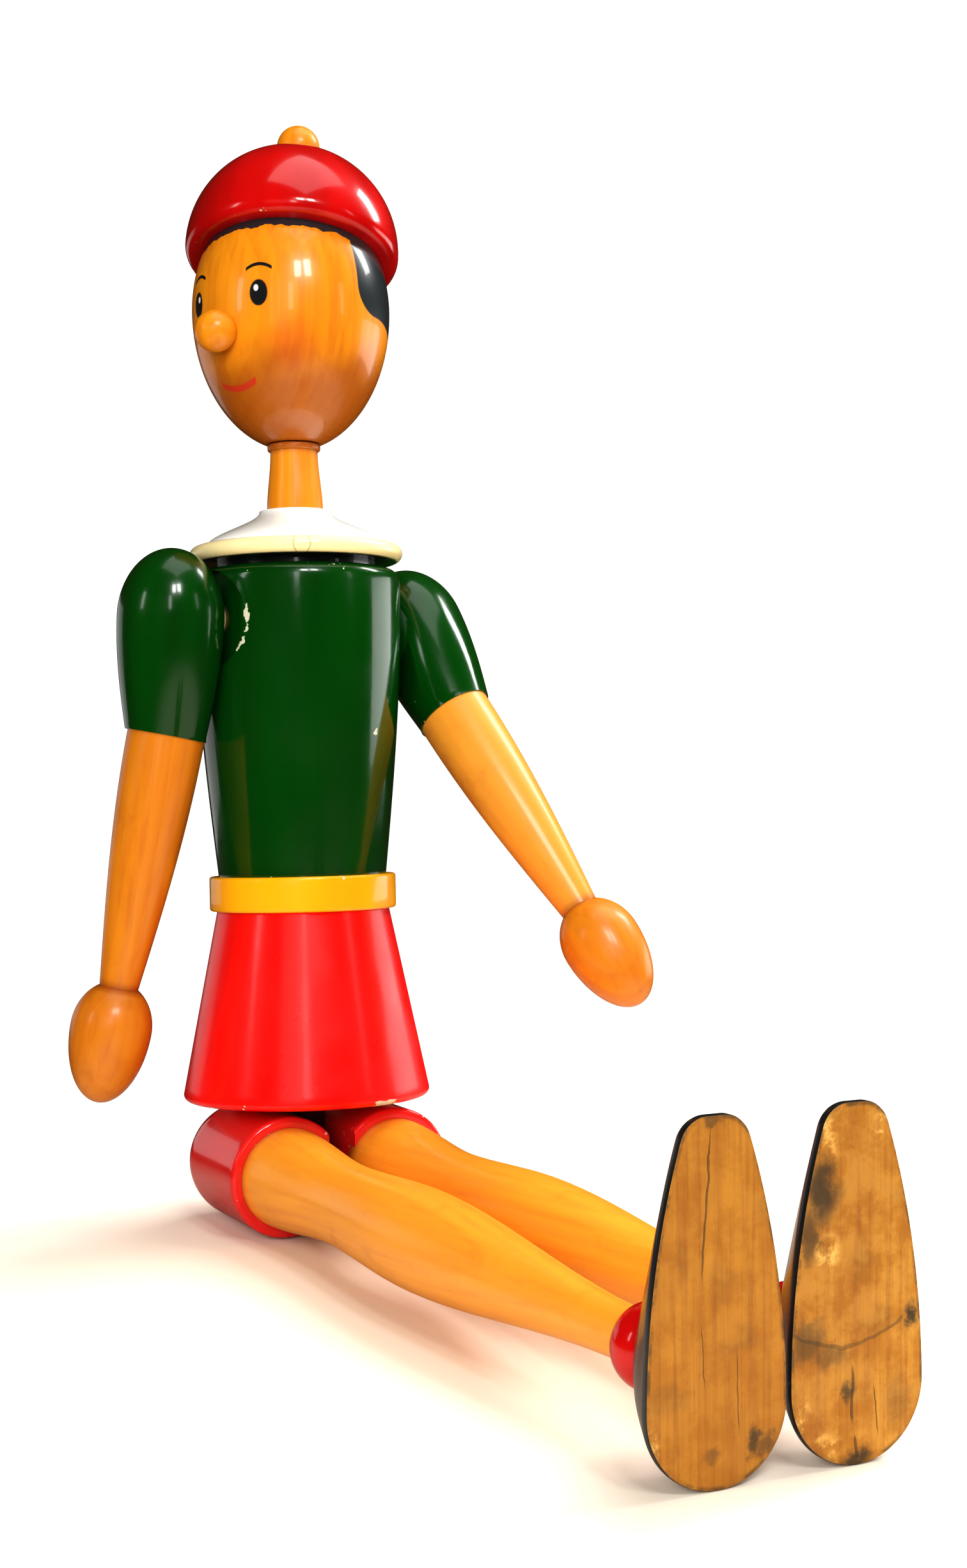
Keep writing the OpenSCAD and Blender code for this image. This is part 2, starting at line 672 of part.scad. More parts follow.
// Outline of the sole in the leg frame, drawn in by inset: round heel, curved sides, rounded toe corners
module sole_outline(inset) {
    heel_y = heel_r - ankle_h;
    top_y = sole_len - ankle_h;
    toe_y = top_y - toe_corner_r;
    side_x = heel_r - sole_side_r;
    corner_run = sole_side_r - toe_corner_r;
    corner_x = side_x + sqrt(pow(corner_run, 2) - pow(toe_y - heel_y, 2));
    // Height at which a side's long curve meets the corner
    meet_y = heel_y + (toe_y - heel_y) * sole_side_r / corner_run;
    translate([0, heel_y]) circle(r = heel_r - inset);
    intersection() {
        translate([side_x, heel_y]) circle(r = sole_side_r - inset, $fn = SOLE_FN);
        translate([-side_x, heel_y]) circle(r = sole_side_r - inset, $fn = SOLE_FN);
        translate([-heel_r, heel_y]) square([2 * heel_r, meet_y - heel_y - inset]);
    }
    for (s = [-1, 1]) translate([s * corner_x, toe_y]) circle(r = toe_corner_r - inset);
    translate([-corner_x, toe_y - toe_corner_r]) square([2 * corner_x, 2 * toe_corner_r - inset]);
}

module shoe(side) {
    color("dimgray") at_leg(side) difference() {
        union() {
            translate([0, 0, leg_len - welt_h]) linear_extrude(welt_h) sole_outline(0);
            hull() {
                translate([0, 0, leg_len - welt_h])
                    linear_extrude(welt_step) sole_outline(welt_step, $fn = HULL_FN);
                translate([0, 0, leg_len - shoe_h]) cylinder(r = instep_r, h = welt_step, $fn = HULL_FN);
            }
        }
        translate([0, 0, leg_len - shoe_h - CUT])
            cylinder(r = ankle_tenon_r + glue_gap, h = ankle_tenon_in + end_gap + CUT);
    }
}

hip_block();
hip_axle();
skirt();
belt();
waist_dowel();
torso();
shoulder_pins();
collar();
neck();
head();
nose();
cap();
cap_knob();
cap_dowel();
head_pin();
sleeve(-1, right_arm_swing);  // right_sleeve
forearm(-1, right_arm_swing);  // right_forearm
hand(-1, right_arm_swing);  // right_hand
shoulder_peg(-1, right_arm_swing);  // right_shoulder_peg
sleeve(1, left_arm_swing);  // left_sleeve
forearm(1, left_arm_swing);  // left_forearm
hand(1, left_arm_swing);  // left_hand
shoulder_peg(1, left_arm_swing);  // left_shoulder_peg
thigh_cuff(-1);  // right_thigh_cuff
leg(-1);  // right_leg
ankle_bead(-1);  // right_ankle_bead
shoe(-1);  // right_shoe
hip_pin(-1);  // right_hip_pin
thigh_cuff(1);  // left_thigh_cuff
leg(1);  // left_leg
ankle_bead(1);  // left_ankle_bead
shoe(1);  // left_shoe
hip_pin(1);  // left_hip_pin
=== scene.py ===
"""Dresses a jointed wooden doll: turned pieces in lacquer and varnish, bare soles, and the wear of use, with
some light and shade painted into the colours.
"""

import json
import math

import bmesh
import bpy
from bpy.props import FloatProperty, FloatVectorProperty, IntProperty, PointerProperty
from mathutils import Matrix, Vector
from mathutils.kdtree import KDTree


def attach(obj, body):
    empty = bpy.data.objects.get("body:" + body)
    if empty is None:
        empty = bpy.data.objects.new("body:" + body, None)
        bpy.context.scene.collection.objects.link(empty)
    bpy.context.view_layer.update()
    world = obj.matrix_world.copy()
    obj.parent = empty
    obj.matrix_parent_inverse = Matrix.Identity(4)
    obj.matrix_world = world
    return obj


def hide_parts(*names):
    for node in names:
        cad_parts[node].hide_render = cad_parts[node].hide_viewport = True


bl_info = {
    "name": "Jointed Wooden Doll",
    "version": (1, 0, 0),
    "blender": (4, 5, 0),
    "location": "3D View > Sidebar > Doll",
    "description": "Turns, paints and wears the pieces of a jointed wooden doll",
    "category": "Object",
}

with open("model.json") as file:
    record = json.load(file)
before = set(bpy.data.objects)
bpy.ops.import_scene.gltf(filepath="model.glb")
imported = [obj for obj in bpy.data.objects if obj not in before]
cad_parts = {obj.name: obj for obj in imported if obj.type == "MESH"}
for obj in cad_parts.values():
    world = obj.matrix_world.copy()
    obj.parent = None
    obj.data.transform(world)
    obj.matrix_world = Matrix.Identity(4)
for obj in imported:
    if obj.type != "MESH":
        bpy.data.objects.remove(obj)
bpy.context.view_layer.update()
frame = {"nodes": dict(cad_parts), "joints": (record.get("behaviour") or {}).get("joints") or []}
JOINTS = {joint["name"]: joint for joint in frame["joints"]}

MM = 0.001
SIDES = (("right", -1), ("left", 1))
# Edges sharper than this stay crisp on a turned piece
CRISP_ANGLE = math.radians(32)
# Edges sharper than this count as rims, where paint wears
RIM_ANGLE = math.radians(8)
FAR = 1.0
# Points along a curved stretch of a profile, and round a small edge
CURVE_STEPS = 36
EDGE_STEPS = 6
# Half the width of a flat cutter, more than any piece needs
CUTTER_REACH = 0.1
UNDOABLE = {"REGISTER", "UNDO"}

# Pith of the stock beside the turning axis, and the grain's lean in radians
PITH = (0.031, 0.012, 0)
GRAIN_LEAN = (0.05, 0.03, 0)
# Depth of each surface's relief: below zero where its dark lines lie lower
PAINT_RELIEF = 0.08 * MM
SOLE_RELIEF = -0.3 * MM
DOWEL_RELIEF = -0.05 * MM
HAIR_CORNER = 9 * MM
# How far the ragged edge of a patch on the sole strays, across and along
RAGGED = (7 * MM, 9 * MM)

# Soil and painted shade on the right arm, which lies in shade; the left arm has less, being lit more;
# darkening where pieces meet
FOREARM_SOIL_AND_SHADE = 0.36
HAND_SOIL_AND_SHADE = 0.42
LEFT_LESS_SHADE = 0.1
WRIST_SOIL = 0.5
THIGH_SOIL = 0.6
NECK_RING_DARKER = 0.8
# Paler varnish: painted light on the left forearm, which is lit more, and varnish rubbed thin on the legs
LEFT_FOREARM_PAINTED_LIGHT = 0.5
LEG_RUB = 0.25
# Strength of the chips in the hem and in the torso, their sizes and the place of one on its side
HEM_CHIP = 0.26
HEM_CHIP_WIDTH = 8 * MM
TORSO_CHIP = 0.34
SEAT_CHIP_LOW, SEAT_CHIP_HIGH = -10.5 * MM, 5.5 * MM
SEAT_CHIP_IN, SEAT_CHIP_OUT = -0.2 * MM, 0.9 * MM
# How far forward the seat's chip starts, as a share of the seat's radius
SEAT_CHIP_FRONT = 0.3
SIDE_CHIP = Vector((8.4, -30.0, 135.5)) * MM
SIDE_CHIP_RADIUS = 1.4 * MM

# Rounding of the sole's edge, the welt's step as a share of it, and the swell of the shoe's upper
SOLE_EDGE = 0.5 * MM
WELT_STEP = 0.4
UPPER_SWELL = 0.16
# Rings of the sole's face, as shares of its outline
SOLE_RINGS = (0.06, 0.2, 0.4, 0.6, 0.8, 0.9, 0.95)
# Where the lights aim, and the lights that show in no gloss
LAMP_AIM = Vector((0.0, 0.05, 0.17))
MATTE_LAMPS = ("key", "fill")
# Distance and height of the narrow panes, and the turn and share of power of each
STRIP_AWAY, STRIP_HEIGHT = 1.3, 0.62
STRIPS = ((-88, 1.0), (-24, 1.0), (42, 0.4))
# Where the floor is fullest, and how far from there it starts and ends to fade
FLOOR_MIDDLE = (0.04, -0.12, 0)
FLOOR_FADE = (0.22, 0.46)


def length(name, millimetres, description):
    """A size in millimetres, kept in metres."""
    return FloatProperty(
        name=name, description=description, default=millimetres * MM, precision=5, unit="LENGTH")


def turn(name, degrees, description):
    """An angle given in degrees."""
    return FloatProperty(name=name, description=description, default=math.radians(degrees), subtype="ANGLE")


def tint(name, rgb, description):
    """A scene-linear colour."""
    return FloatVectorProperty(name=name, description=description, default=rgb, min=0, max=1, subtype="COLOR")


def power(name, watts, description):
    """The power of a studio light."""
    return FloatProperty(name=name, description=description, default=watts, min=0, unit="POWER")


class TrunkSizes(bpy.types.PropertyGroup):
    """Skirt, belt, torso, collar and neck."""

    hem_height: length("Hem height", 19.8, "Hem of the skirt above the hip axle")
    hem_radius: length("Hem radius", 39.2, "Skirt radius at the hem")
    hem_round: length("Hem rounding", 2.0, "Rounding of the skirt's lower edge")
    waist_radius: length("Waist radius", 27.5, "Skirt radius under the belt")
    skirt_height: length("Skirt height", 60.0, "Height of the skirt")
    belt_radius: length("Belt radius", 29.8, "Radius of the belt")
    belt_height: length("Belt height", 11.0, "Height of the belt")
    belt_round: length("Belt rounding", 0.9, "Rounding of the belt's edges")
    torso_low_radius: length("Torso low radius", 26.8, "Torso radius at the belt")
    torso_top_radius: length("Torso top radius", 33.2, "Torso radius at the shoulders")
    torso_height: length("Torso height", 97.5, "Height of the torso")
    torso_round: length("Torso rounding", 4.0, "Rounding of the torso's top edge")
    seat_drop: length("Arm seat drop", 16.8, "Arm seat's centre below the torso's top")
    seat_depth: length("Arm seat depth", 3.2, "Depth of the round seat cut for each arm")
    seat_radius: length("Arm seat radius", 15.5, "Radius of the round seat cut for each arm")
    collar_radius: length("Collar radius", 34.2, "Collar radius at its rim")
    collar_height: length("Collar height", 19.2, "Height of the collar")
    collar_rim: length("Collar rim", 5.4, "Thickness of the collar's rim")
    collar_gap: length("Collar gap", 2.4, "Shadow gap under the collar's rim")
    collar_foot: length("Collar foot", 25.5, "Radius of the collar's foot on the torso")
    collar_top: length("Collar top", 11.5, "Collar radius round the neck")
    neck_radius: length("Neck radius", 9.0, "Neck radius in the collar")
    neck_top: length("Neck top radius", 7.6, "Neck radius under its ring")
    neck_height: length("Neck height", 21.6, "Visible height of the neck")
    ring_radius: length("Neck ring radius", 8.5, "Radius of the ring at the neck's top")
    ring_height: length("Neck ring height", 2.2, "Height of the ring at the neck's top")
    chin_gap: length("Chin gap", 0.3, "Gap between the neck's ring and the chin")


class HeadSizes(bpy.types.PropertyGroup):
    """Head, nose, cap and knob."""

    turned: turn("Head turn", -76.0, "Turn of the head from the torso's front")
    radius: length("Head radius", 31.7, "Head radius at its widest")
    low_height: length("Head low height", 42.2, "Chin flat to the head's widest part")
    chin_radius: length("Chin radius", 9.4, "Radius of the flat under the chin")
    crown_height: length("Crown height", 40.0, "Crown above the head's widest part, under the cap")
    nose_radius: length("Nose radius", 6.5, "Radius of the nose ball")
    nose_height: length("Nose height", 31.0, "Nose above the chin flat")
    nose_sink: length("Nose sink", 2.2, "How much of the nose ball is sunk in the face")
    eye_turn: turn("Eye turn", 24.0, "Each eye round from the middle of the face")
    eye_height: length("Eye height", 42.0, "Eyes above the chin flat")
    mouth_height: length("Mouth height", 14.5, "Mouth above the chin flat")
    fringe: length("Fringe", 3.0, "Painted hair below the cap")
    temple: turn("Temple", 84.0, "Front edge of the hair, round from the middle of the face")
    ear_height: length("Ear height", 37.0, "Lower edge of the hair at the sides")
    nape_height: length("Nape height", 27.0, "Lower edge of the hair behind")
    cap_seat: length("Cap seat", 59.2, "Cap seat above the chin flat")
    cap_tilt: turn("Cap tilt", 16.5, "Tilt of the cap off the forehead")
    cap_tilt_side: turn("Cap tilt side", 28.0, "How far the tilt goes round to the doll's right")
    cap_shift: length("Cap shift", 2.0, "How far the cap sits back on its seat")
    cap_radius: length("Cap radius", 34.4, "Cap radius at the brim")
    cap_low_radius: length("Cap low radius", 31.6, "Cap radius at its lower edge")
    cap_lip: length("Cap lip", 4.0, "Height of the brim's round lip")
    cap_height: length("Cap height", 38.0, "Height of the cap")
    cap_flat: length("Cap flat", 4.4, "Radius of the flat under the knob")
    knob_radius: length("Knob radius", 7.0, "Radius of the knob on the cap")


class ArmSizes(bpy.types.PropertyGroup):
    """Sleeves, forearms and hands."""

    right_swing: turn("Right arm swing", 6.7, "Right arm behind the torso's side line")
    left_swing: turn("Left arm swing", -35.5, "Left arm behind the torso's side line")
    sleeve_radius: length("Sleeve radius", 16.5, "Sleeve radius at the shoulder")
    dome_height: length("Sleeve dome", 21.6, "Sleeve's dome over the shoulder peg")
    sleeve_length: length("Sleeve length", 36.4, "Sleeve below the shoulder peg")
    mouth_radius: length("Sleeve mouth", 12.4, "Sleeve radius at its mouth")
    boss_radius: length("Sleeve boss", 15.0, "Radius of the boss that lies in the arm seat")
    inner_flat: length("Sleeve flat", 13.3, "Planed inner side, from the sleeve's centre line")
    elbow_angle: turn("Elbow angle", 9.6, "How far each forearm is set outward")
    forearm_length: length("Forearm length", 79.0, "Length of the forearm")
    forearm_radius: length("Forearm radius", 12.0, "Forearm radius at the sleeve")
    wrist_radius: length("Wrist radius", 6.0, "Forearm radius at the wrist")
    hand_radius: length("Hand radius", 12.5, "Hand radius at its widest")
    hand_length: length("Hand length", 36.0, "Length of the hand")
    hand_wide_at: length("Hand wide at", 13.0, "Widest part of the hand below the wrist")


class LegSizes(bpy.types.PropertyGroup):
    """Thigh cuffs, legs, ankle beads and shoes."""

    cuff_radius: length("Cuff radius", 18.5, "Radius of the thigh cuff")
    cuff_length: length("Cuff length", 36.0, "Hip axle to the cuff's mouth")
    cuff_round: length("Cuff rounding", 1.4, "Rounding of the cuff's mouth")
    cuff_seat: length("Cuff seat", 3.0, "Depth of the leg's seat in the cuff")
    cuff_flat: length("Cuff flat", 13.4, "Planed inner side, from the cuff's centre line")
    thigh_radius: length("Thigh radius", 15.4, "Leg radius at the thigh")
    knee_radius: length("Knee radius", 12.0, "Leg radius where it is thinnest")
    knee_at: length("Knee at", 82.0, "Thin part of the leg from the hip axle")
    calf_radius: length("Calf radius", 13.7, "Leg radius at the calf")
    calf_at: length("Calf at", 131.0, "Thick part of the calf from the hip axle")
    ankle_radius: length("Ankle radius", 6.2, "Leg radius at the ankle")
    bead_radius: length("Bead radius", 10.0, "Radius of the ankle bead")
    bead_length: length("Bead length", 13.0, "Length of the ankle bead")
    bead_end: length("Bead end", 6.8, "Bead radius at its ends")
    leg_length: length("Leg length", 277.0, "Hip axle to the sole")
    sole_length: length("Sole length", 78.0, "Length of the sole")
    heel_radius: length("Heel radius", 17.2, "Sole radius at the heel")
    side_radius: length("Sole side radius", 185.0, "Long curve of each side of the sole")
    toe_corner: length("Toe corner", 6.8, "Corner radius at the toe")
    ankle_height: length("Ankle height", 24.0, "Leg's centre line over the heel")
    shoe_height: length("Shoe height", 19.0, "Shoe height at the ankle")
    welt_height: length("Welt height", 2.4, "Straight side of the shoe above the sole")
    instep_radius: length("Instep radius", 8.2, "Upper's radius at the ankle bead")


class Finishes(bpy.types.PropertyGroup):
    """Colours of the paints and woods."""

    wood_light: tint("Light wood", (0.84, 0.305, 0.010), "Varnished wood between its grain lines")
    wood_dark: tint("Dark wood", (0.56, 0.125, 0.003), "Varnished wood along its grain lines")
    # Pale wood also paints light on the left forearm, which is lit more
    wood_pale: tint("Pale wood", (0.98, 0.50, 0.075), "Varnish rubbed thin")
    soil_and_shade: tint("Soil", (0.30, 0.060, 0.006), "Handled and shaded varnish")
    green: tint("Green lacquer", (0.001, 0.054, 0.003), "Torso and sleeves")
    red: tint("Red lacquer", (0.86, 0.004, 0.003), "Skirt")
    crimson: tint("Crimson lacquer", (0.56, 0.004, 0.004), "Cap and ankle beads")
    rose: tint("Rose lacquer", (0.74, 0.016, 0.014), "Thigh cuffs")
    yellow: tint("Yellow lacquer", (0.94, 0.42, 0.004), "Belt")
    white: tint("White lacquer", (0.90, 0.89, 0.84), "Collar")
    cream: tint("Cream lacquer", (0.92, 0.80, 0.42), "Rim of the collar")
    primer: tint("Primer", (0.62, 0.62, 0.46), "Pale ground under worn paint")
    # Black also paints the shade under the collar's rim
    black: tint("Black paint", (0.010, 0.011, 0.012), "Eyes, brows and sides of the shoes")
    hair: tint("Hair", (0.016, 0.022, 0.026), "Painted hair")
    scuff: tint("Scuff", (0.13, 0.14, 0.12), "Grey ground under the shoes' paint")
    sole_light: tint("Light sole", (0.46, 0.195, 0.014), "Bare wood of the soles")
    sole_dark: tint("Dark sole", (0.25, 0.082, 0.007), "Grain of the soles")
    sole_pale: tint("Pale sole", (0.80, 0.47, 0.12), "Fresh wood in the chips")
    dirt: tint("Dirt", (0.045, 0.032, 0.016), "Smudges and cracks")
    blush: tint("Blush", (0.55, 0.045, 0.015), "Cheeks and mouth")
    # The hip block's near-black is painted shade, where it lies under the skirt between the thighs
    stain_and_shade: tint("Stain", (0.045, 0.010, 0.008), "Hip block, stained dark")
    dowel: tint("Dowel wood", (0.62, 0.43, 0.24), "Plain wood of hidden dowels")
    steel: tint("Steel", (0.55, 0.55, 0.57), "Retaining pins")


class StageSettings(bpy.types.PropertyGroup):
    """Camera, floor and lights."""

    camera_place: FloatVectorProperty(
        name="Camera place", description="Camera in the doll's frame", default=(-0.2669, -0.5364, 0.160),
        subtype="TRANSLATION", unit="LENGTH")
    camera_yaw: turn("Camera yaw", 26.6, "Camera's turn from straight ahead to the doll's left")
    camera_pitch: turn("Camera pitch", 1.75, "Camera's tilt down")
    lens: FloatProperty(name="Lens", description="Focal length", default=49.92, unit="CAMERA")
    floor_radius: length("Floor radius", 2400.0, "Radius of the floor")
    floor_tint: tint("Floor colour", (0.95, 0.86, 0.73), "Pale floor")
    mirrored: FloatProperty(
        name="Mirrored", description="How bright the room looks in the lacquer", default=0.16, min=0)
    floor_mirrored: FloatProperty(
        name="Floor mirrored", description="How bright the floor looks in the lacquer", default=0.4, min=0)
    key_power: power("Key light", 27.0, "Window to the right")
    pane_power: power("Pane light", 3.5, "Each pane of the windows")
    fill_power: power("Fill light", 13.5, "Soft light from the left")
    sky_power: power("Sky light", 6.0, "Wide panel overhead")
    side_power: power("Side light", 2.1, "Low panel to the right")
    wall_power: power("Wall light", 0.55, "Bright wall behind, to the left")
    strip_power: power("Strip light", 0.8, "Each narrow pane round the front")
    dome: FloatProperty(name="Dome", description="Strength of the room's own light", default=0.14, min=0)
    dome_tint: tint("Dome colour", (1.0, 0.72, 0.42), "Warm light of the room")


class DollSettings(bpy.types.PropertyGroup):
    """All sizes and colours of the doll."""

    trunk: PointerProperty(type=TrunkSizes)
    head: PointerProperty(type=HeadSizes)
    arms: PointerProperty(type=ArmSizes)
    legs: PointerProperty(type=LegSizes)
    finishes: PointerProperty(type=Finishes)
    stage: PointerProperty(type=StageSettings)
    segments: IntProperty(
        name="Segments", description="Facets round a turned piece", default=128, min=24, max=256)


def doll():
    """The doll's settings."""
    return bpy.context.scene.wooden_doll


def ease(t):
    """Runs from 0 to 1 with level ends."""
    return t * t * (3 - 2 * t)


def arc(centre, radii, start, end, steps=CURVE_STEPS):
    """Profile points on an elliptic arc, between two angles in degrees."""
    angles = [math.radians(start + (end - start) * i / steps) for i in range(steps + 1)]
    return [(centre[0] + radii[0] * math.cos(a), centre[1] + radii[1] * math.sin(a)) for a in angles]


def eased(start, end, steps=CURVE_STEPS):
    """Profile points that ease from one point to the next, without the first."""
    shares = [i / steps for i in range(1, steps + 1)]
    return [(start[0] + (end[0] - start[0]) * ease(t), start[1] + (end[1] - start[1]) * t) for t in shares]


def swelling(low, high, steps=CURVE_STEPS):
    """Profile points from low to high, whose slope is level at the high end."""
    points = []
    for i in range(steps + 1):
        t = i / steps
        share = math.sin(t * math.pi / 2)
        points.append((low[0] + (high[0] - low[0]) * share, low[1] + (high[1] - low[1]) * t))
    return points


def low_edge(radius, z, lip):
    """A rounded lower edge of a profile."""
    return arc((radius - lip, z + lip), (lip, lip), -90, 0, EDGE_STEPS)


def top_edge(radius, z, lip):
    """A rounded upper edge of a profile."""
    return arc((radius - lip, z - lip), (lip, lip), 0, 90, EDGE_STEPS)


def faded(distance, reach):
    """Falls from 1 at no distance to 0 at its reach."""
    return max(0.0, 1 - distance / reach)


def wire(tree, socket, value):
    """Links a socket, or sets it to a plain value."""
    if isinstance(value, bpy.types.NodeSocket):
        tree.links.new(value, socket)
    else:
        socket.default_value = value


def put(tree, kind, inputs=None, **settings):
    """Adds a node with its settings, and its inputs by name or number."""
    node = tree.nodes.new(kind)
    for key, value in settings.items():
        setattr(node, key, value)
    for key, value in (inputs or {}).items():
        wire(tree, node.inputs[key], value)
    return node


def calc(tree, operation, *values, clamp=False):
    """One step of arithmetic."""
    node = put(tree, "ShaderNodeMath", dict(enumerate(values)), operation=operation, use_clamp=clamp)
    return node.outputs[0]


def plus(tree, first, second, clamp=False):
    """Two values added."""
    return calc(tree, "ADD", first, second, clamp=clamp)


def minus(tree, first, second):
    """The first value less the second."""
    return calc(tree, "SUBTRACT", first, second)


def flipped(tree, value, clamp=False):
    """What a value leaves of 1."""
    return calc(tree, "SUBTRACT", 1.0, value, clamp=clamp)


def times(tree, first, second):
    """Two values multiplied."""
    return calc(tree, "MULTIPLY", first, second)


def ratio(tree, first, second):
    """The first value divided by the second."""
    return calc(tree, "DIVIDE", first, second)


def scaled(tree, value, factor, start, clamp=False):
    """A value times a factor, from a start."""
    return calc(tree, "MULTIPLY_ADD", value, factor, start, clamp=clamp)


def most(tree, first, second):
    """The larger of two values."""
    return calc(tree, "MAXIMUM", first, second)


def hypot(tree, first, second):
    """How far two sides at right angles reach."""
    return calc(tree, "SQRT", plus(tree, times(tree, first, first), times(tree, second, second)))


def shift(tree, operation, *values):
    """One step of vector arithmetic."""
    node = put(tree, "ShaderNodeVectorMath", dict(enumerate(values)), operation=operation)
    return node.outputs["Value" if operation in ("LENGTH", "DOT_PRODUCT") else "Vector"]


def stretched(tree, vector, factors):
    """A vector with each axis multiplied."""
    return shift(tree, "MULTIPLY", vector, factors)


def axes(tree, vector):
    """The X, Y and Z of a vector."""
    return put(tree, "ShaderNodeSeparateXYZ", {0: vector}).outputs


def point_of(tree, **values):
    """A vector from its X, Y and Z."""
    return put(tree, "ShaderNodeCombineXYZ", values).outputs[0]


def from_front(tree, spot):
    """The angle round a turned piece, from its front."""
    return calc(tree, "ARCTAN2", spot["X"], times(tree, spot["Y"], -1.0))


def rise(tree, value, low, high):
    """Rises smoothly from 0 at low to 1 at high."""
    node = put(tree, "ShaderNodeMapRange", {"Value": value, "From Min": low, "From Max": high},
               interpolation_type="SMOOTHSTEP")
    return node.outputs["Result"]


def between(tree, value, low, high):
    """Spreads a share from 0 to 1 over low to high."""
    return put(tree, "ShaderNodeMapRange", {"Value": value, "To Min": low, "To Max": high}).outputs["Result"]


def mixed(tree, share, first, second, kind="MIX"):
    """Mixes two colours."""
    node = put(tree, "ShaderNodeMix", {0: share}, data_type="RGBA", blend_type=kind)
    for number, value in ((6, first), (7, second)):
        wire(tree, node.inputs[number], value if isinstance(value, bpy.types.NodeSocket) else (*value, 1))
    return node.outputs[2]


def cloud(tree, vector, scale=1.0, detail=2.0, roughness=0.5):
    """Soft noise from 0 to 1."""
    inputs = {"Vector": vector, "Scale": scale, "Detail": detail, "Roughness": roughness}
    return put(tree, "ShaderNodeTexNoise", inputs).outputs[0]


def named(tree, attribute, output):
    """One of the values kept on a piece's own points."""
    return put(tree, "ShaderNodeAttribute", attribute_name=attribute).outputs[output]


def shader_group(name, inputs, outputs):
    """An empty shader node group with its end nodes. Place is a vector, and every other socket a value."""
    tree = bpy.data.node_groups.new(name, "ShaderNodeTree")
    for label in inputs:
        kind = "Vector" if label == "Place" else "Float"
        tree.interface.new_socket(label, in_out="INPUT", socket_type="NodeSocket" + kind)
    for label in outputs:
        tree.interface.new_socket(label, in_out="OUTPUT", socket_type="NodeSocketFloat")
    return tree, tree.nodes.new("NodeGroupInput").outputs, tree.nodes.new("NodeGroupOutput").inputs


def grain_group():
    """Growth rings about an off-centre pith, fine pores along the grain, and a slow change of tone."""
    known = bpy.data.node_groups.get("wood_grain")
    if known:
        return known
    inputs, outputs = ("Place", "Stock", "Ring spacing"), ("Rings", "Pores", "Tone")
    tree, given, made = shader_group("wood_grain", inputs, outputs)
    angle = times(tree, given["Stock"], 2.4)
    spun = put(tree, "ShaderNodeVectorRotate", {"Vector": given["Place"], "Angle": angle},
               rotation_type="Z_AXIS").outputs[0]
    moved = shift(tree, "ADD", spun, point_of(tree, Z=times(tree, given["Stock"], 0.37)))
    place = put(tree, "ShaderNodeMapping",
                {"Vector": moved, "Location": PITH, "Rotation": GRAIN_LEAN}).outputs[0]
    sway = put(tree, "ShaderNodeTexNoise",
               {"Vector": stretched(tree, place, (14, 14, 5)), "Scale": 1.0, "Detail": 2.0}).outputs["Color"]
    swayed = stretched(tree, shift(tree, "SUBTRACT", sway, (0.5, 0.5, 0.5)), (0.014, 0.014, 0))
    from_pith = shift(tree, "LENGTH", shift(tree, "ADD", stretched(tree, place, (1, 1, 0)), swayed))
    year = calc(tree, "FRACT", ratio(tree, from_pith, given["Ring spacing"]))
    late = times(tree, rise(tree, year, 0.15, 0.88), flipped(tree, rise(tree, year, 0.90, 1.0)))
    wire(tree, made["Rings"], late)
    wire(tree, made["Pores"], cloud(tree, stretched(tree, place, (440, 440, 18)), detail=3.0))
    wire(tree, made["Tone"], cloud(tree, stretched(tree, place, (24, 24, 9)), detail=3.0))
    return tree


def film_group():
    """A brushed paint film: streaks of tone, its worn edges and chips, its fine relief and its scuffs."""
    known = bpy.data.node_groups.get("paint_film")
    if known:
        return known
    inputs = ("Place", "Stock", "Edge gap", "Rub", "Reach", "Chips")
    tree, given, made = shader_group("paint_film", inputs, ("Tone", "Worn", "Height", "Scuff"))
    place = shift(tree, "ADD", given["Place"], point_of(tree, Z=times(tree, given["Stock"], 0.61)))
    near = flipped(tree, ratio(tree, given["Edge gap"], given["Reach"]), clamp=True)
    flakes = cloud(tree, place, scale=330, detail=5.0, roughness=0.62)
    loose = scaled(tree, near, given["Chips"], flakes)
    worn = rise(tree, plus(tree, loose, given["Rub"]), 0.77, 0.80)
    peel = cloud(tree, place, scale=520, detail=1.0)
    wire(tree, made["Tone"], cloud(tree, stretched(tree, place, (70, 70, 9))))
    wire(tree, made["Worn"], worn)
    wire(tree, made["Height"], minus(tree, times(tree, peel, 0.22), worn))
    wire(tree, made["Scuff"], cloud(tree, place, scale=46, detail=4.0))
    return tree


def new_finish(name):
    """A material with only its shader, and the values that a piece keeps on its points."""
    material = bpy.data.materials.new("doll_" + name)
    material.use_nodes = True
    tree = material.node_tree
    shader = tree.nodes["Principled BSDF"]
    place, stock = named(tree, "turned_at", "Vector"), named(tree, "stock", "Fac")
    return material, tree, shader, place, stock


def placed_group(tree, group, inputs):
    """A shader node group with its inputs."""
    return put(tree, "ShaderNodeGroup", inputs, node_tree=group).outputs


def raised(tree, shader, height, depth):
    """Fine relief of a surface, depth in metres."""
    bump = put(tree, "ShaderNodeBump", {"Height": height, "Distance": depth, "Strength": 1.0})
    wire(tree, shader.inputs["Normal"], bump.outputs[0])


def coat(shader, weight, roughness):
    """A clear coat over the colour."""
    shader.inputs["Coat Weight"].default_value = weight
    shader.inputs["Coat Roughness"].default_value = roughness


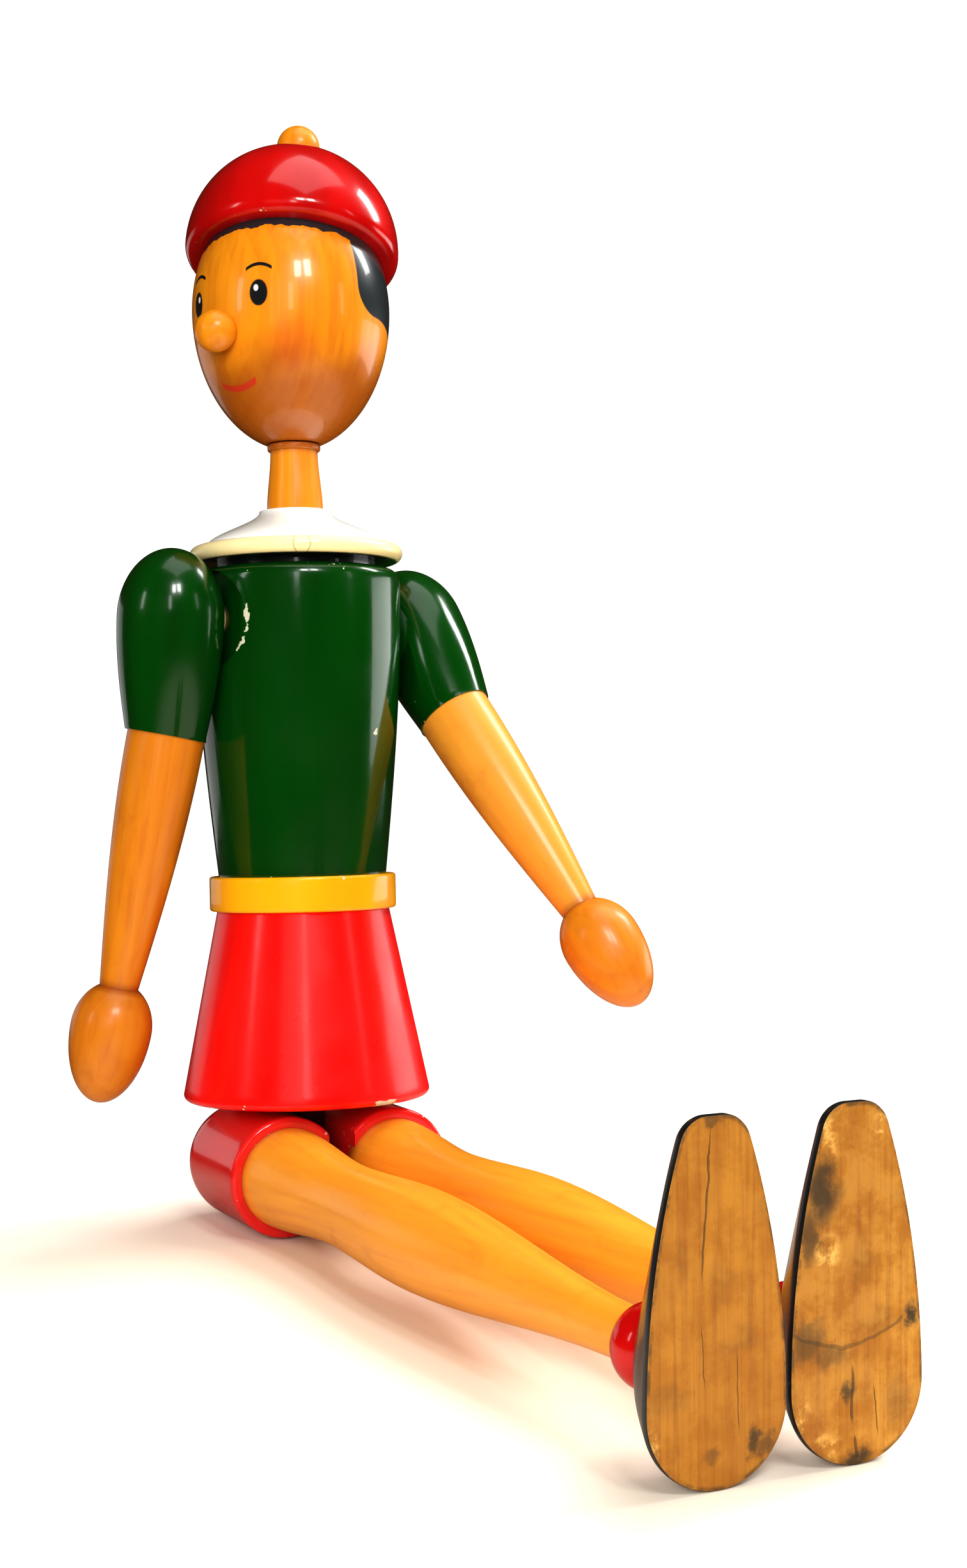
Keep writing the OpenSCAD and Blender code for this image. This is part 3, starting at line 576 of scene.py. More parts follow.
def varnished(tree, place, stock, light, dark, ring_spacing=4.2 * MM):
    """Colour and relief of varnished wood."""
    grain = placed_group(tree, grain_group(), {"Place": place, "Stock": stock, "Ring spacing": ring_spacing})
    rings = times(tree, grain["Rings"], 0.15)
    pores = times(tree, rise(tree, grain["Pores"], 0.44, 0.76), 0.28)
    tone = times(tree, rise(tree, grain["Tone"], 0.3, 0.75), 0.34)
    depth = plus(tree, plus(tree, rings, pores), tone, clamp=True)
    return mixed(tree, depth, light, dark), rings


def honey_wood():
    """Turned wood under honey varnish: darker where it is handled or joined, and with painted shade on the
    right arm; paler where it is rubbed, and with painted light on the left forearm.
    """
    colours = doll().finishes
    material, tree, shader, place, stock = new_finish("honey_wood")
    colour, _ = varnished(tree, place, stock, colours.wood_light, colours.wood_dark)
    # Paler: painted light on the left forearm, and the legs' rubbed varnish
    colour = mixed(tree, named(tree, "rub_and_light", "Fac"), colour, colours.wood_pale)
    grime = rise(tree, cloud(tree, place, scale=60, detail=5.0, roughness=0.6), 0.54, 0.76)
    # Darker: random grime, dark joints, and painted shade on the right arm, which lies in shade
    stain_and_shade = scaled(tree, grime, 0.22, named(tree, "soil_and_shade", "Fac"), clamp=True)
    wire(tree, shader.inputs["Base Color"], mixed(tree, stain_and_shade, colour, colours.soil_and_shade))
    wire(tree, shader.inputs["Roughness"], between(tree, grime, 0.38, 0.42))
    coat(shader, 0.35, 0.18)
    return material


def lacquer(name, colour, shade=0.72, chips=0.11, reach=1.4 * MM, gloss=0.14, clear=0.04,
            body=0.5, ground=None, tinted=None):
    """Glossy paint over wood, worn through at its edges and where it rubs."""
    colours = doll().finishes
    material, tree, shader, place, stock = new_finish(name)
    edge, rub_and_light = named(tree, "edge_gap", "Fac"), named(tree, "rub_and_light", "Fac")
    film = placed_group(tree, film_group(), {
        "Place": place, "Stock": stock, "Edge gap": edge, "Rub": rub_and_light, "Reach": reach, "Chips": chips})
    deep = [channel * shade for channel in colour]
    paint = mixed(tree, rise(tree, film["Tone"], 0.25, 0.75), deep, colour)
    if tinted:
        paint = tinted(tree, place, paint)
    wire(tree, shader.inputs["Base Color"], mixed(tree, film["Worn"], paint, ground or colours.primer))
    rough = between(tree, rise(tree, film["Scuff"], 0.35, 0.75), gloss, gloss + 0.12)
    wire(tree, shader.inputs["Roughness"], scaled(tree, film["Worn"], 0.35, rough))
    raised(tree, shader, film["Height"], PAINT_RELIEF)
    coat(shader, body, clear)
    return material


def green_lacquer():
    return lacquer("green_lacquer", doll().finishes.green, clear=0.07)


def red_lacquer():
    return lacquer("red_lacquer", doll().finishes.red, shade=0.80, gloss=0.26, clear=0.13, body=0.25)


def crimson_lacquer():
    return lacquer("crimson_lacquer", doll().finishes.crimson)


def rose_lacquer():
    return lacquer("rose_lacquer", doll().finishes.rose)


def yellow_lacquer():
    return lacquer("yellow_lacquer", doll().finishes.yellow, shade=0.85, gloss=0.26)


def white_lacquer():
    """The collar's white, with a cream rim, a round crack in it, and painted shade in black under the rim and
    on the foot.
    """
    colours, trunk = doll().finishes, doll().trunk
    rim_top = heights()["top"] + trunk.collar_gap + trunk.collar_rim

    def cream_rim_and_shade(tree, place, paint):
        spot = axes(tree, place)
        across, up = from_front(tree, spot), spot["Z"]
        low = flipped(tree, rise(tree, up, rim_top - 0.6 * MM, rim_top + 0.4 * MM))
        # Painted shade: the rim's underside and the foot are painted black, where the gap under the rim lies
        # in shade
        under = flipped(tree, rise(tree, up, rim_top - trunk.collar_rim, rim_top - trunk.collar_rim * 0.92))
        crack = (-0.535, rim_top - 2.6 * MM)
        line = minus(tree, oval(tree, across, up, crack, (0.085, 3.6 * MM), 0.05),
                     oval(tree, across, up, crack, (0.070, 3.1 * MM), 0.05))
        marks = ((low, colours.cream), (under, colours.black), (times(tree, line, 0.4), colours.dirt))
        return inked(tree, paint, marks)

    return lacquer("white_lacquer", colours.white, shade=0.94, chips=0.04, gloss=0.24, ground=colours.soil_and_shade,
                   tinted=cream_rim_and_shade)


def inked(tree, colour, marks):
    """A colour with painted marks over it, in order."""
    for mask, ink in marks:
        colour = mixed(tree, mask, colour, ink)
    return colour


def oval(tree, across, up, middle, reach, soft=0.08):
    """A painted oval: 1 inside it and 0 outside."""
    flat = ratio(tree, minus(tree, across, middle[0]), reach[0])
    tall = ratio(tree, minus(tree, up, middle[1]), reach[1])
    return flipped(tree, rise(tree, hypot(tree, flat, tall), 1 - soft, 1 + soft))


def stroke(tree, across, up, middle, reach, bow, thickness):
    """A painted line that bows up or down at its ends."""
    share = ratio(tree, minus(tree, across, middle[0]), reach)
    line = scaled(tree, times(tree, share, share), bow, middle[1])
    inside = flipped(tree, rise(tree, calc(tree, "ABSOLUTE", share), 0.55, 1.05))
    near = ratio(tree, calc(tree, "ABSOLUTE", minus(tree, up, line)), thickness)
    return times(tree, flipped(tree, rise(tree, near, 0.75, 1.1)), calc(tree, "GREATER_THAN", inside, 0.35))


def hair_mask(tree, place, across, up):
    """Painted hair: a thin fringe along the cap, down to the ears at the sides and to the nape behind."""
    head = doll().head
    seat = head_place().inverted() @ cap_place()
    from_seat = shift(tree, "SUBTRACT", place, seat.translation)
    height = shift(tree, "DOT_PRODUCT", from_seat, seat.to_3x3().col[2])
    ragged = cloud(tree, point_of(tree, X=times(tree, across, 5.0)))
    fringe = calc(tree, "GREATER_THAN", height, between(tree, ragged, -head.fringe * 0.2, -head.fringe * 1.8))
    round_head = calc(tree, "ABSOLUTE", across)
    hairline = between(tree, rise(tree, round_head, 1.7, 2.9), head.ear_height, head.nape_height)
    back = times(tree, minus(tree, round_head, head.temple), head.radius)
    behind = most(tree, minus(tree, HAIR_CORNER, back), 0.0)
    below = most(tree, minus(tree, HAIR_CORNER, minus(tree, up, hairline)), 0.0)
    rounded = hypot(tree, behind, below)
    side = flipped(tree, rise(tree, rounded, HAIR_CORNER - 0.25 * MM, HAIR_CORNER + 0.25 * MM))
    return most(tree, fringe, side)


def face_paint():
    """The head: varnished wood with painted hair, eyes, brows, cheeks and mouth, and painted shade that
    darkens the lower face.
    """
    colours, head = doll().finishes, doll().head
    material, tree, shader, place, stock = new_finish("face_paint")
    colour, _ = varnished(tree, place, stock, colours.wood_light, colours.wood_dark)
    spot = axes(tree, place)
    across, up = from_front(tree, spot), spot["Z"]
    pair = calc(tree, "ABSOLUTE", across)
    wobble = minus(tree, cloud(tree, place, scale=70, detail=3.0), 0.5)
    # Painted shade: the lower face is darkened towards the chin, as it turns away from the light
    low = flipped(tree, rise(tree, scaled(tree, wobble, 18 * MM, up), 14 * MM, 33 * MM))
    eye = (head.eye_turn, head.eye_height)
    cheek, brow = (eye[0] * 1.75, eye[1] - 15 * MM), (eye[0], eye[1] + 9 * MM)
    glint = (eye[0] - 0.025, eye[1] + 1.5 * MM)
    blush = oval(tree, pair, up, cheek, (0.21, 6.5 * MM), 0.7)
    mouth = stroke(tree, across, up, (0.0, head.mouth_height), 0.33, 2.6 * MM, 1.0 * MM)
    marks = ((times(tree, low, 0.72), colours.soil_and_shade),
             (times(tree, blush, 0.35), colours.blush),
             (mouth, colours.blush),
             (stroke(tree, pair, up, brow, 0.16, -2.0 * MM, 0.6 * MM), colours.black),
             (oval(tree, pair, up, eye, (0.092, 4.1 * MM)), colours.black),
             (oval(tree, pair, up, glint, (0.024, 1.0 * MM), 0.2), colours.white),
             (hair_mask(tree, place, across, up), colours.hair))
    wire(tree, shader.inputs["Base Color"], inked(tree, colour, marks))
    wire(tree, shader.inputs["Roughness"], between(tree, cloud(tree, place, scale=55, detail=4.0), 0.2, 0.42))
    coat(shader, 0.5, 0.07)
    return material


def shoe_black():
    colours = doll().finishes
    return lacquer("shoe_black", colours.black, shade=0.6, chips=0.1, gloss=0.3, ground=colours.scuff)


def streak(tree, x, y, start, end, half_width):
    """A crack along the sole between two points, wider in its middle."""
    share = ratio(tree, minus(tree, y, start[1]), end[1] - start[1])
    line = scaled(tree, share, end[0] - start[0], start[0])
    inside = times(tree, rise(tree, share, 0.0, 0.2), flipped(tree, rise(tree, share, 0.75, 1.0)))
    width = scaled(tree, inside, half_width, 0.02 * MM)
    off = ratio(tree, calc(tree, "ABSOLUTE", minus(tree, x, line)), width)
    return times(tree, inside, flipped(tree, rise(tree, off, 0.6, 1.4)))


def smudge(tree, x, y, ragged, middle, reach, strength):
    """A ragged patch on the sole, with its middle and reach in millimetres."""
    spot = [scaled(tree, ragged, stray, value) for stray, value in zip(RAGGED, (x, y))]
    centre = [value * MM + stray / 2 for stray, value in zip(RAGGED, middle)]
    patch = oval(tree, *spot, centre, [value * MM for value in reach], 0.55)
    return times(tree, patch, strength)


def sole_finish(name, smudges, cracks, arc_line, chips, fresh):
    """Bare wood of a sole: grain along the foot, cracks, dirt and pale chips. Places in millimetres."""
    colours = doll().finishes
    material, tree, shader, place, stock = new_finish(name)
    spot = axes(tree, place)
    lengthwise = point_of(tree, X=spot["X"], Y=spot["Z"], Z=spot["Y"])
    colour, relief = varnished(tree, lengthwise, stock, colours.sole_light, colours.sole_dark, 5.0 * MM)
    fibre = cloud(tree, stretched(tree, lengthwise, (900, 900, 22)), detail=4.0, roughness=0.6)
    wobble = minus(tree, cloud(tree, place, scale=150, detail=3.0), 0.5)
    x, y = scaled(tree, wobble, 1.6 * MM, spot["X"]), spot["Y"]
    ragged = cloud(tree, place, scale=190, detail=5.0, roughness=0.65)
    mottle = rise(tree, cloud(tree, place, scale=120, detail=6.0, roughness=0.7), 0.40, 0.62)
    dirt = times(tree, rise(tree, cloud(tree, place, scale=75, detail=5.0), 0.53, 0.80), 0.35)
    for middle, reach, strength in smudges:
        dirt = most(tree, dirt, smudge(tree, x, y, ragged, middle, reach, strength))
    edge = flipped(tree, rise(tree, named(tree, "edge_gap", "Fac"), 0.0, 0.9 * MM))
    dirt = most(tree, dirt, times(tree, edge, between(tree, rise(tree, ragged, 0.42, 0.6), 0.1, 0.7)))
    pale = split = ring = 0.0
    for middle, reach in chips:
        pale = most(tree, pale, smudge(tree, x, y, ragged, middle, reach, 0.75))
    for start, end, half_width in cracks:
        ends = [[value * MM for value in point] for point in (start, end)]
        split = most(tree, split, streak(tree, x, y, *ends, half_width * MM))
    if arc_line:
        middle, reach, bow = arc_line
        ring = stroke(tree, spot["X"], scaled(tree, wobble, 2.5 * MM, y), [value * MM for value in middle],
                      reach * MM, bow * MM, 0.5 * MM)
    marks = ((times(tree, rise(tree, fibre, 0.46, 0.70), 0.6), colours.sole_dark),
             (between(tree, mottle, fresh, 0.0), colours.sole_pale),
             (times(tree, mottle, 0.28), colours.sole_dark),
             (dirt, colours.dirt),
             (times(tree, pale, rise(tree, ragged, 0.45, 0.6)), colours.sole_pale),
             (times(tree, ring, 0.45), colours.dirt),
             (times(tree, split, 0.65), colours.dirt))
    wire(tree, shader.inputs["Base Color"], inked(tree, colour, marks))
    wire(tree, shader.inputs["Roughness"], between(tree, ragged, 0.5, 0.8))
    height = plus(tree, times(tree, relief, 0.3), scaled(tree, fibre, 0.4, split))
    raised(tree, shader, height, SOLE_RELIEF)
    return material


def right_sole():
    """A long crack from the toe, and dark spots by the heel."""
    smudges = (((8.5, -15), (1.5, 2.6), 0.85), ((11.5, -16.5), (2.4, 1.8), 0.6),
               ((-2, -17), (1.6, 1.4), 0.45), ((-1, 53.5), (3.0, 1.4), 0.6), ((-13, -4), (5.0, 3.0), 0.2))
    cracks = (((-3.9, 17), (-1.2, 54.5), 0.17), ((-3, -3), (-4, 12), 0.06), ((5, -14), (4.6, 6), 0.06))
    chips = (((-16, -12), (2.0, 5.0)),)
    return sole_finish("right_sole", smudges, cracks, None, chips, fresh=0.05)


def left_sole():
    """Grey smudges by the toe, a dark growth line with a knot, a slit and chipped edges."""
    smudges = (((-9.0, 35.5), (4.0, 6.0), 0.9), ((-12, 27), (2.8, 5.5), 0.75), ((-13, 4), (4.0, 4.5), 0.6),
               ((-8, 0), (5.0, 3.0), 0.5), ((14, 6.5), (1.8, 2.6), 0.95), ((-2.2, -6.8), (1.2, 2.4), 0.8),
               ((-1, -23), (3.2, 2.0), 0.9), ((10, -12), (3.0, 5.0), 0.3))
    cracks = (((-1.4, -16), (-1.6, -1), 0.24), ((-0.5, -23), (-0.9, -17), 0.24), ((5, -19), (4, -6), 0.1))
    chips = (((-6.5, 46.5), (1.6, 4.0)), ((-8.5, 50.5), (3.0, 2.0)), ((-7, 23), (2.8, 3.4)),
             ((7, 49), (2.0, 2.4)), ((-10, -18.5), (5.0, 3.0)), ((-14, -12), (2.0, 4.0)))
    return sole_finish("left_sole", smudges, cracks, ((-2.5, 2.0), 17.0, 6.0), chips, fresh=0.14)


def plain_wood(name, light):
    """Unvarnished wood inside the doll."""
    material, tree, shader, _, _ = new_finish(name)
    place = put(tree, "ShaderNodeTexCoord").outputs["Object"]
    dark = [channel * 0.72 for channel in light]
    colour, relief = varnished(tree, place, 0.4, light, dark, 2.4 * MM)
    wire(tree, shader.inputs["Base Color"], colour)
    shader.inputs["Roughness"].default_value = 0.65
    raised(tree, shader, relief, DOWEL_RELIEF)
    return material


def dowel_wood():
    return plain_wood("dowel_wood", doll().finishes.dowel)


# The hip block's wood, darkened as painted shade under the skirt
def painted_shade_wood():
    return plain_wood("painted_shade_wood", doll().finishes.stain_and_shade)


def pin_steel():
    """Plain steel pins with a drawn grain."""
    colours = doll().finishes
    material, tree, shader, _, _ = new_finish("pin_steel")
    place = put(tree, "ShaderNodeTexCoord").outputs["Object"]
    drawn = cloud(tree, stretched(tree, place, (900, 900, 60)), detail=3.0)
    dull = [channel * 0.7 for channel in colours.steel]
    wire(tree, shader.inputs["Base Color"], mixed(tree, drawn, dull, colours.steel))
    wire(tree, shader.inputs["Roughness"], between(tree, drawn, 0.25, 0.45))
    shader.inputs["Metallic"].default_value = 1.0
    return material


FINISH_MAKERS = {maker.__name__: maker for maker in (
    honey_wood, green_lacquer, red_lacquer, crimson_lacquer, rose_lacquer, yellow_lacquer, white_lacquer,
    face_paint, shoe_black, right_sole, left_sole, dowel_wood, painted_shade_wood, pin_steel)}


def finish(name):
    """A finish by name, made when it is first asked for."""
    return bpy.data.materials.get("doll_" + name) or FINISH_MAKERS[name]()


def turned_tree():
    """Geometry nodes that spin the points of a profile about Z."""
    known = bpy.data.node_groups.get("turned_form")
    if known:
        return known
    tree = bpy.data.node_groups.new("turned_form", "GeometryNodeTree")
    for label, kind in (("Profile", "Geometry"), ("Segments", "Int"), ("Finish", "Material")):
        tree.interface.new_socket(label, in_out="INPUT", socket_type="NodeSocket" + kind)
    tree.interface.new_socket("Geometry", in_out="OUTPUT", socket_type="NodeSocketGeometry")
    start, end = tree.nodes.new("NodeGroupInput").outputs, tree.nodes.new("NodeGroupOutput").inputs
    rows = put(tree, "GeometryNodeAttributeDomainSize", {"Geometry": start["Profile"]}).outputs["Point Count"]
    columns = plus(tree, start["Segments"], 1.0)
    grid = put(tree, "GeometryNodeMeshGrid", {"Vertices X": columns, "Vertices Y": rows}).outputs["Mesh"]
    index = tree.nodes.new("GeometryNodeInputIndex").outputs[0]
    column = calc(tree, "FLOOR", ratio(tree, plus(tree, index, 0.5), rows))
    row = minus(tree, index, times(tree, column, rows))
    angle = times(tree, ratio(tree, column, start["Segments"]), math.tau)
    spot = tree.nodes.new("GeometryNodeInputPosition").outputs[0]
    sample = put(tree, "GeometryNodeSampleIndex", {"Geometry": start["Profile"], "Value": spot, "Index": row},
                 data_type="FLOAT_VECTOR")
    point = axes(tree, sample.outputs[0])
    spun = point_of(tree, X=times(tree, point["X"], calc(tree, "COSINE", angle)),
                    Y=times(tree, point["X"], calc(tree, "SINE", angle)), Z=point["Z"])
    moved = put(tree, "GeometryNodeSetPosition", {"Geometry": grid, "Position": spun}).outputs[0]
    closed = put(tree, "GeometryNodeMergeByDistance", {"Geometry": moved, "Distance": 1e-6}).outputs[0]
    smooth = put(tree, "GeometryNodeSetShadeSmooth", {"Geometry": closed, "Shade Smooth": True}).outputs[0]
    real = put(tree, "GeometryNodeRealizeInstances", {"Geometry": smooth}).outputs[0]
    dressed = put(tree, "GeometryNodeSetMaterial", {"Geometry": real, "Material": start["Finish"]}).outputs[0]
    wire(tree, end["Geometry"], dressed)
    return tree


def socket_id(tree, label):
    """The identifier of a node group's named input."""
    inputs = [item for item in tree.interface.items_tree if item.in_out == "INPUT"]
    return next(item.identifier for item in inputs if item.name == label)


def scratch_object(name, mesh):
    """An object that lasts only while a piece is made."""
    made = bpy.data.objects.new(name, mesh)
    bpy.context.scene.collection.objects.link(made)
    return made


def block(low, high):
    """A cutter with flat sides between two corners."""
    mesh = bpy.data.meshes.new("block")
    form = bmesh.new()
    bmesh.ops.create_cube(form, size=1.0)
    for vert in form.verts:
        vert.co = [low[i] if vert.co[i] < 0 else high[i] for i in range(3)]
    form.to_mesh(mesh)
    form.free()
    return mesh


def fine(profile, step=2.5 * MM):
    """A profile with its long straight stretches divided."""
    points = profile[:1]
    for (r0, z0), (r1, z1) in zip(profile, profile[1:]):
        parts = max(1, math.ceil(math.hypot(r1 - r0, z1 - z0) / step))
        points += [(r0 + (r1 - r0) * i / parts, z0 + (z1 - z0) * i / parts) for i in range(1, parts + 1)]
    return points


def spin(profile, finish_name, cutters=()):
    """A turned mesh in its own frame, with cutters taken out of it."""
    profile = fine(profile)
    blank_mesh = bpy.data.meshes.new("profile")
    blank_mesh.from_pydata([(r, 0, z) for r, z in profile], [(i, i + 1) for i in range(len(profile) - 1)], [])
    blank = scratch_object("blank", blank_mesh)
    tree = turned_tree()
    lathe = blank.modifiers.new("Turned form", "NODES")
    lathe.node_group = tree
    lathe[socket_id(tree, "Segments")] = doll().segments
    lathe[socket_id(tree, "Finish")] = finish(finish_name)
    tools = [scratch_object("cutter", mesh) for mesh in cutters]
    for tool in tools:
        cut = blank.modifiers.new("Cut", "BOOLEAN")
        cut.object, cut.operation, cut.solver = tool, "DIFFERENCE", "EXACT"
    graph = bpy.context.evaluated_depsgraph_get()
    mesh = bpy.data.meshes.new_from_object(
        blank.evaluated_get(graph), preserve_all_data_layers=True, depsgraph=graph)
    for used in (blank, *tools):
        bpy.data.objects.remove(used)
    mesh.materials.clear()
    mesh.materials.append(finish(finish_name))
    mesh.polygons.foreach_set("material_index", [0] * len(mesh.polygons))
    return mesh


def edge_gaps(mesh):
    """Each point's distance to the nearest rim."""
    form = bmesh.new()
    form.from_mesh(mesh)
    ends = {vert.index for edge in form.edges if edge.calc_face_angle(0.0) > RIM_ANGLE for vert in edge.verts}
    form.free()
    tree = KDTree(len(ends))
    for i in ends:
        tree.insert(mesh.vertices[i].co, i)
    tree.balance()
    return [tree.find(vert.co)[2] if ends else FAR for vert in mesh.vertices]


def keep(mesh, name, values):
    """Keeps one value on each point."""
    mesh.attributes.new(name, "FLOAT", "POINT").data.foreach_set("value", values)


def hand_over(node, mesh, place, body, stock, rub_and_light=None, soil_and_shade=None):
    """Keeps a piece's own frame, its wear and its painted light and shade on its points, puts it in place and
    lets it stand for its node.
    """
    mesh.set_sharp_from_angle(angle=CRISP_ANGLE)
    spots = [vert.co.copy() for vert in mesh.vertices]
    turned_at = mesh.attributes.new("turned_at", "FLOAT_VECTOR", "POINT")
    turned_at.data.foreach_set("vector", [value for co in spots for value in co])
    keep(mesh, "edge_gap", edge_gaps(mesh))
    keep(mesh, "stock", [stock] * len(spots))
    keep(mesh, "rub_and_light", [rub_and_light(co) if rub_and_light else 0.0 for co in spots])
    keep(mesh, "soil_and_shade", [soil_and_shade(co) if soil_and_shade else 0.0 for co in spots])
    mesh.transform(place)
    mesh.name = node + "_piece"
    piece = bpy.data.objects.new(node + "_piece", mesh)
    bpy.context.scene.collection.objects.link(piece)
    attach(piece, body)
    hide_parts(node)


def turned_piece(node, profile, place, body, coating, stock, cutters=(), rub_and_light=None, soil_and_shade=None):
    """Turns a piece in one finish and hands it over."""
    hand_over(node, spin(profile, coating, cutters), place, body, stock, rub_and_light, soil_and_shade)


def turned_place(origin, along_x, along_z):
    """A frame at a point, from its X and Z directions."""
    z = along_z.normalized()
    y = z.cross(along_x).normalized()
    place = Matrix((y.cross(z), y, z)).transposed().to_4x4()
    place.translation = origin
    return place


def spot_of(joint):
    """A joint's place and axis."""
    return Vector(JOINTS[joint]["pos_m"]), Vector(JOINTS[joint]["axis"])


def heights():
    """Heights along the trunk, from the hip axle."""
    trunk = doll().trunk
    hem = trunk.hem_height
    belt = hem + trunk.skirt_height
    torso = belt + trunk.belt_height
    top = torso + trunk.torso_height
    ring = top + trunk.collar_height + trunk.neck_height
    return {"hem": hem, "belt": belt, "torso": torso, "top": top, "ring": ring, "chin": ring + trunk.chin_gap}


def trunk_place():
    """The trunk's frame, at the hip axle's height."""
    chin, up = spot_of("neck_turn")
    _, across = spot_of("right_shoulder")
    return turned_place(chin - up * heights()["chin"], across, up)


def head_place():
    """The head's frame, on the chin flat with the face to -Y."""
    chin = Matrix.Translation((0, 0, heights()["chin"]))
    return trunk_place() @ chin @ Matrix.Rotation(doll().head.turned, 4, "Z")


def chin_share():
    """The share of the head's lower half at which its chin is cut flat."""
    head = doll().head
    return math.sqrt(1 - (head.chin_radius / head.radius) ** 2)


def cap_place():
    """The cap's frame, on its tilted seat."""
    head = doll().head
    round_to = Matrix.Rotation(math.pi + head.cap_tilt_side, 4, "Z")
    lean = Matrix.Rotation(head.cap_tilt, 4, "X")
    seat = Matrix.Translation((0, 0, head.cap_seat))
    return head_place() @ seat @ round_to @ lean @ Matrix.Translation((0, -head.cap_shift, 0))


def arm_place(side):
    """An arm's frame, at its shoulder peg with the sleeve hanging down -Z."""
    arms = doll().arms
    place = trunk_place()
    place.translation = spot_of(side + "_shoulder")[0]
    swing = arms.right_swing if side == "right" else arms.left_swing
    return place @ Matrix.Rotation(swing, 4, "X")


def elbow_turn(sign):
    """From an arm's frame to its forearm's."""
    arms = doll().arms
    return Matrix.Translation((0, 0, -arms.sleeve_length)) @ Matrix.Rotation(-sign * arms.elbow_angle, 4, "Y")


def leg_place(side):
    """A leg's frame: Z runs from the hip axle to the sole, and Y points up."""
    origin, _ = spot_of(side + "_hip")
    legs = doll().legs
    reach = legs.leg_length - legs.welt_height
    slope = math.asin(legs.cuff_radius / math.hypot(reach, legs.ankle_height))
    lift = math.atan2(legs.ankle_height, reach) - slope
    return Matrix.Translation(origin) @ Matrix.Rotation(math.pi / 2 - lift, 4, "X")


class DOLL_OT_skirt(bpy.types.Operator):
    """Turns the red skirt"""

    bl_idname = "doll.skirt"
    bl_label = "Skirt"
    bl_options = UNDOABLE

    def execute(self, context):
        trunk, z = doll().trunk, heights()
        profile = [(0, z["hem"])] + low_edge(trunk.hem_radius, z["hem"], trunk.hem_round)
        profile += [(trunk.waist_radius, z["belt"]), (0, z["belt"])]
        turned_piece("skirt", profile, trunk_place(), "trunk", "red_lacquer", stock=0.13, rub_and_light=self.rub_and_light)
        return {"FINISHED"}

    def rub_and_light(self, spot):
        """A long chip in the hem's front edge."""
        trunk = doll().trunk
        low = spot.z < heights()["hem"] + trunk.hem_round
        outer = math.hypot(spot.x, spot.y) > trunk.hem_radius - trunk.hem_round
        return HEM_CHIP if low and outer and spot.y < 0 and 0.0 < spot.x < HEM_CHIP_WIDTH else 0.0


class DOLL_OT_belt(bpy.types.Operator):
    """Turns the yellow belt"""

    bl_idname = "doll.belt"
    bl_label = "Belt"
    bl_options = UNDOABLE

    def execute(self, context):
        trunk, z = doll().trunk, heights()
        profile = [(0, z["belt"])] + low_edge(trunk.belt_radius, z["belt"], trunk.belt_round)
        profile += top_edge(trunk.belt_radius, z["torso"], trunk.belt_round) + [(0, z["torso"])]
        turned_piece("belt", profile, trunk_place(), "trunk", "yellow_lacquer", stock=0.29)
        return {"FINISHED"}


class DOLL_OT_torso(bpy.types.Operator):
    """Turns the green torso and cuts its two arm seats"""

    bl_idname = "doll.torso"
    bl_label = "Torso"
    bl_options = UNDOABLE

    def execute(self, context):
        trunk, z = doll().trunk, heights()
        side_top = (trunk.torso_top_radius, z["top"] - trunk.torso_round)
        profile = [(0, z["torso"])] + swelling((trunk.torso_low_radius, z["torso"]), side_top)
        profile += top_edge(trunk.torso_top_radius, z["top"], trunk.torso_round)[1:] + [(0, z["top"])]
        seats = [self.seat_cut(sign) for _, sign in SIDES]
        turned_piece("torso", profile, trunk_place(), "trunk", "green_lacquer", stock=0.47, cutters=seats,
                     rub_and_light=self.rub_and_light)
        return {"FINISHED"}

    def seat_cut(self, sign):
        """What is cut out of the torso's side for an arm."""
        trunk = doll().trunk
        deep, reach = trunk.torso_top_radius - trunk.seat_depth, 2 * trunk.torso_top_radius
        cutter = spin([(0, deep), (trunk.seat_radius, deep), (trunk.seat_radius, reach), (0, reach)],
                      "green_lacquer")
        level = Matrix.Translation((0, 0, heights()["top"] - trunk.seat_drop))
        cutter.transform(level @ Matrix.Rotation(sign * math.pi / 2, 4, "Y"))
        return cutter

    def rub_and_light(self, spot):
        """Paint rubbed off by the sleeve at the front of the right arm's seat, and one chip on the side."""
        trunk = doll().trunk
        above = spot.z - (heights()["top"] - trunk.seat_drop)
        outside = math.hypot(spot.y, above) - trunk.seat_radius
        front = spot.x < 0 and spot.y < -SEAT_CHIP_FRONT * trunk.seat_radius
        level = SEAT_CHIP_LOW < above < SEAT_CHIP_HIGH
        seat_worn = front and level and SEAT_CHIP_IN < outside < SEAT_CHIP_OUT
        return TORSO_CHIP if seat_worn or (spot - SIDE_CHIP).length < SIDE_CHIP_RADIUS else 0.0


class DOLL_OT_collar(bpy.types.Operator):
    """Turns the white collar"""

    bl_idname = "doll.collar"
    bl_label = "Collar"
    bl_options = UNDOABLE

    def execute(self, context):
        trunk, z = doll().trunk, heights()
        half = trunk.collar_rim / 2
        low, top = z["top"] + trunk.collar_gap, z["top"] + trunk.collar_height
        rim_in = trunk.collar_radius - trunk.collar_rim
        profile = [(0, z["top"]), (trunk.collar_foot, z["top"]), (trunk.collar_foot, low)]
        profile += arc((trunk.collar_radius - half, low + half), (half, half), -90, 72, CURVE_STEPS // 2)
        profile += eased((rim_in, low + trunk.collar_rim), (trunk.collar_top, top)) + [(0, top)]
        turned_piece("collar", profile, trunk_place(), "trunk", "white_lacquer", stock=0.61)
        return {"FINISHED"}


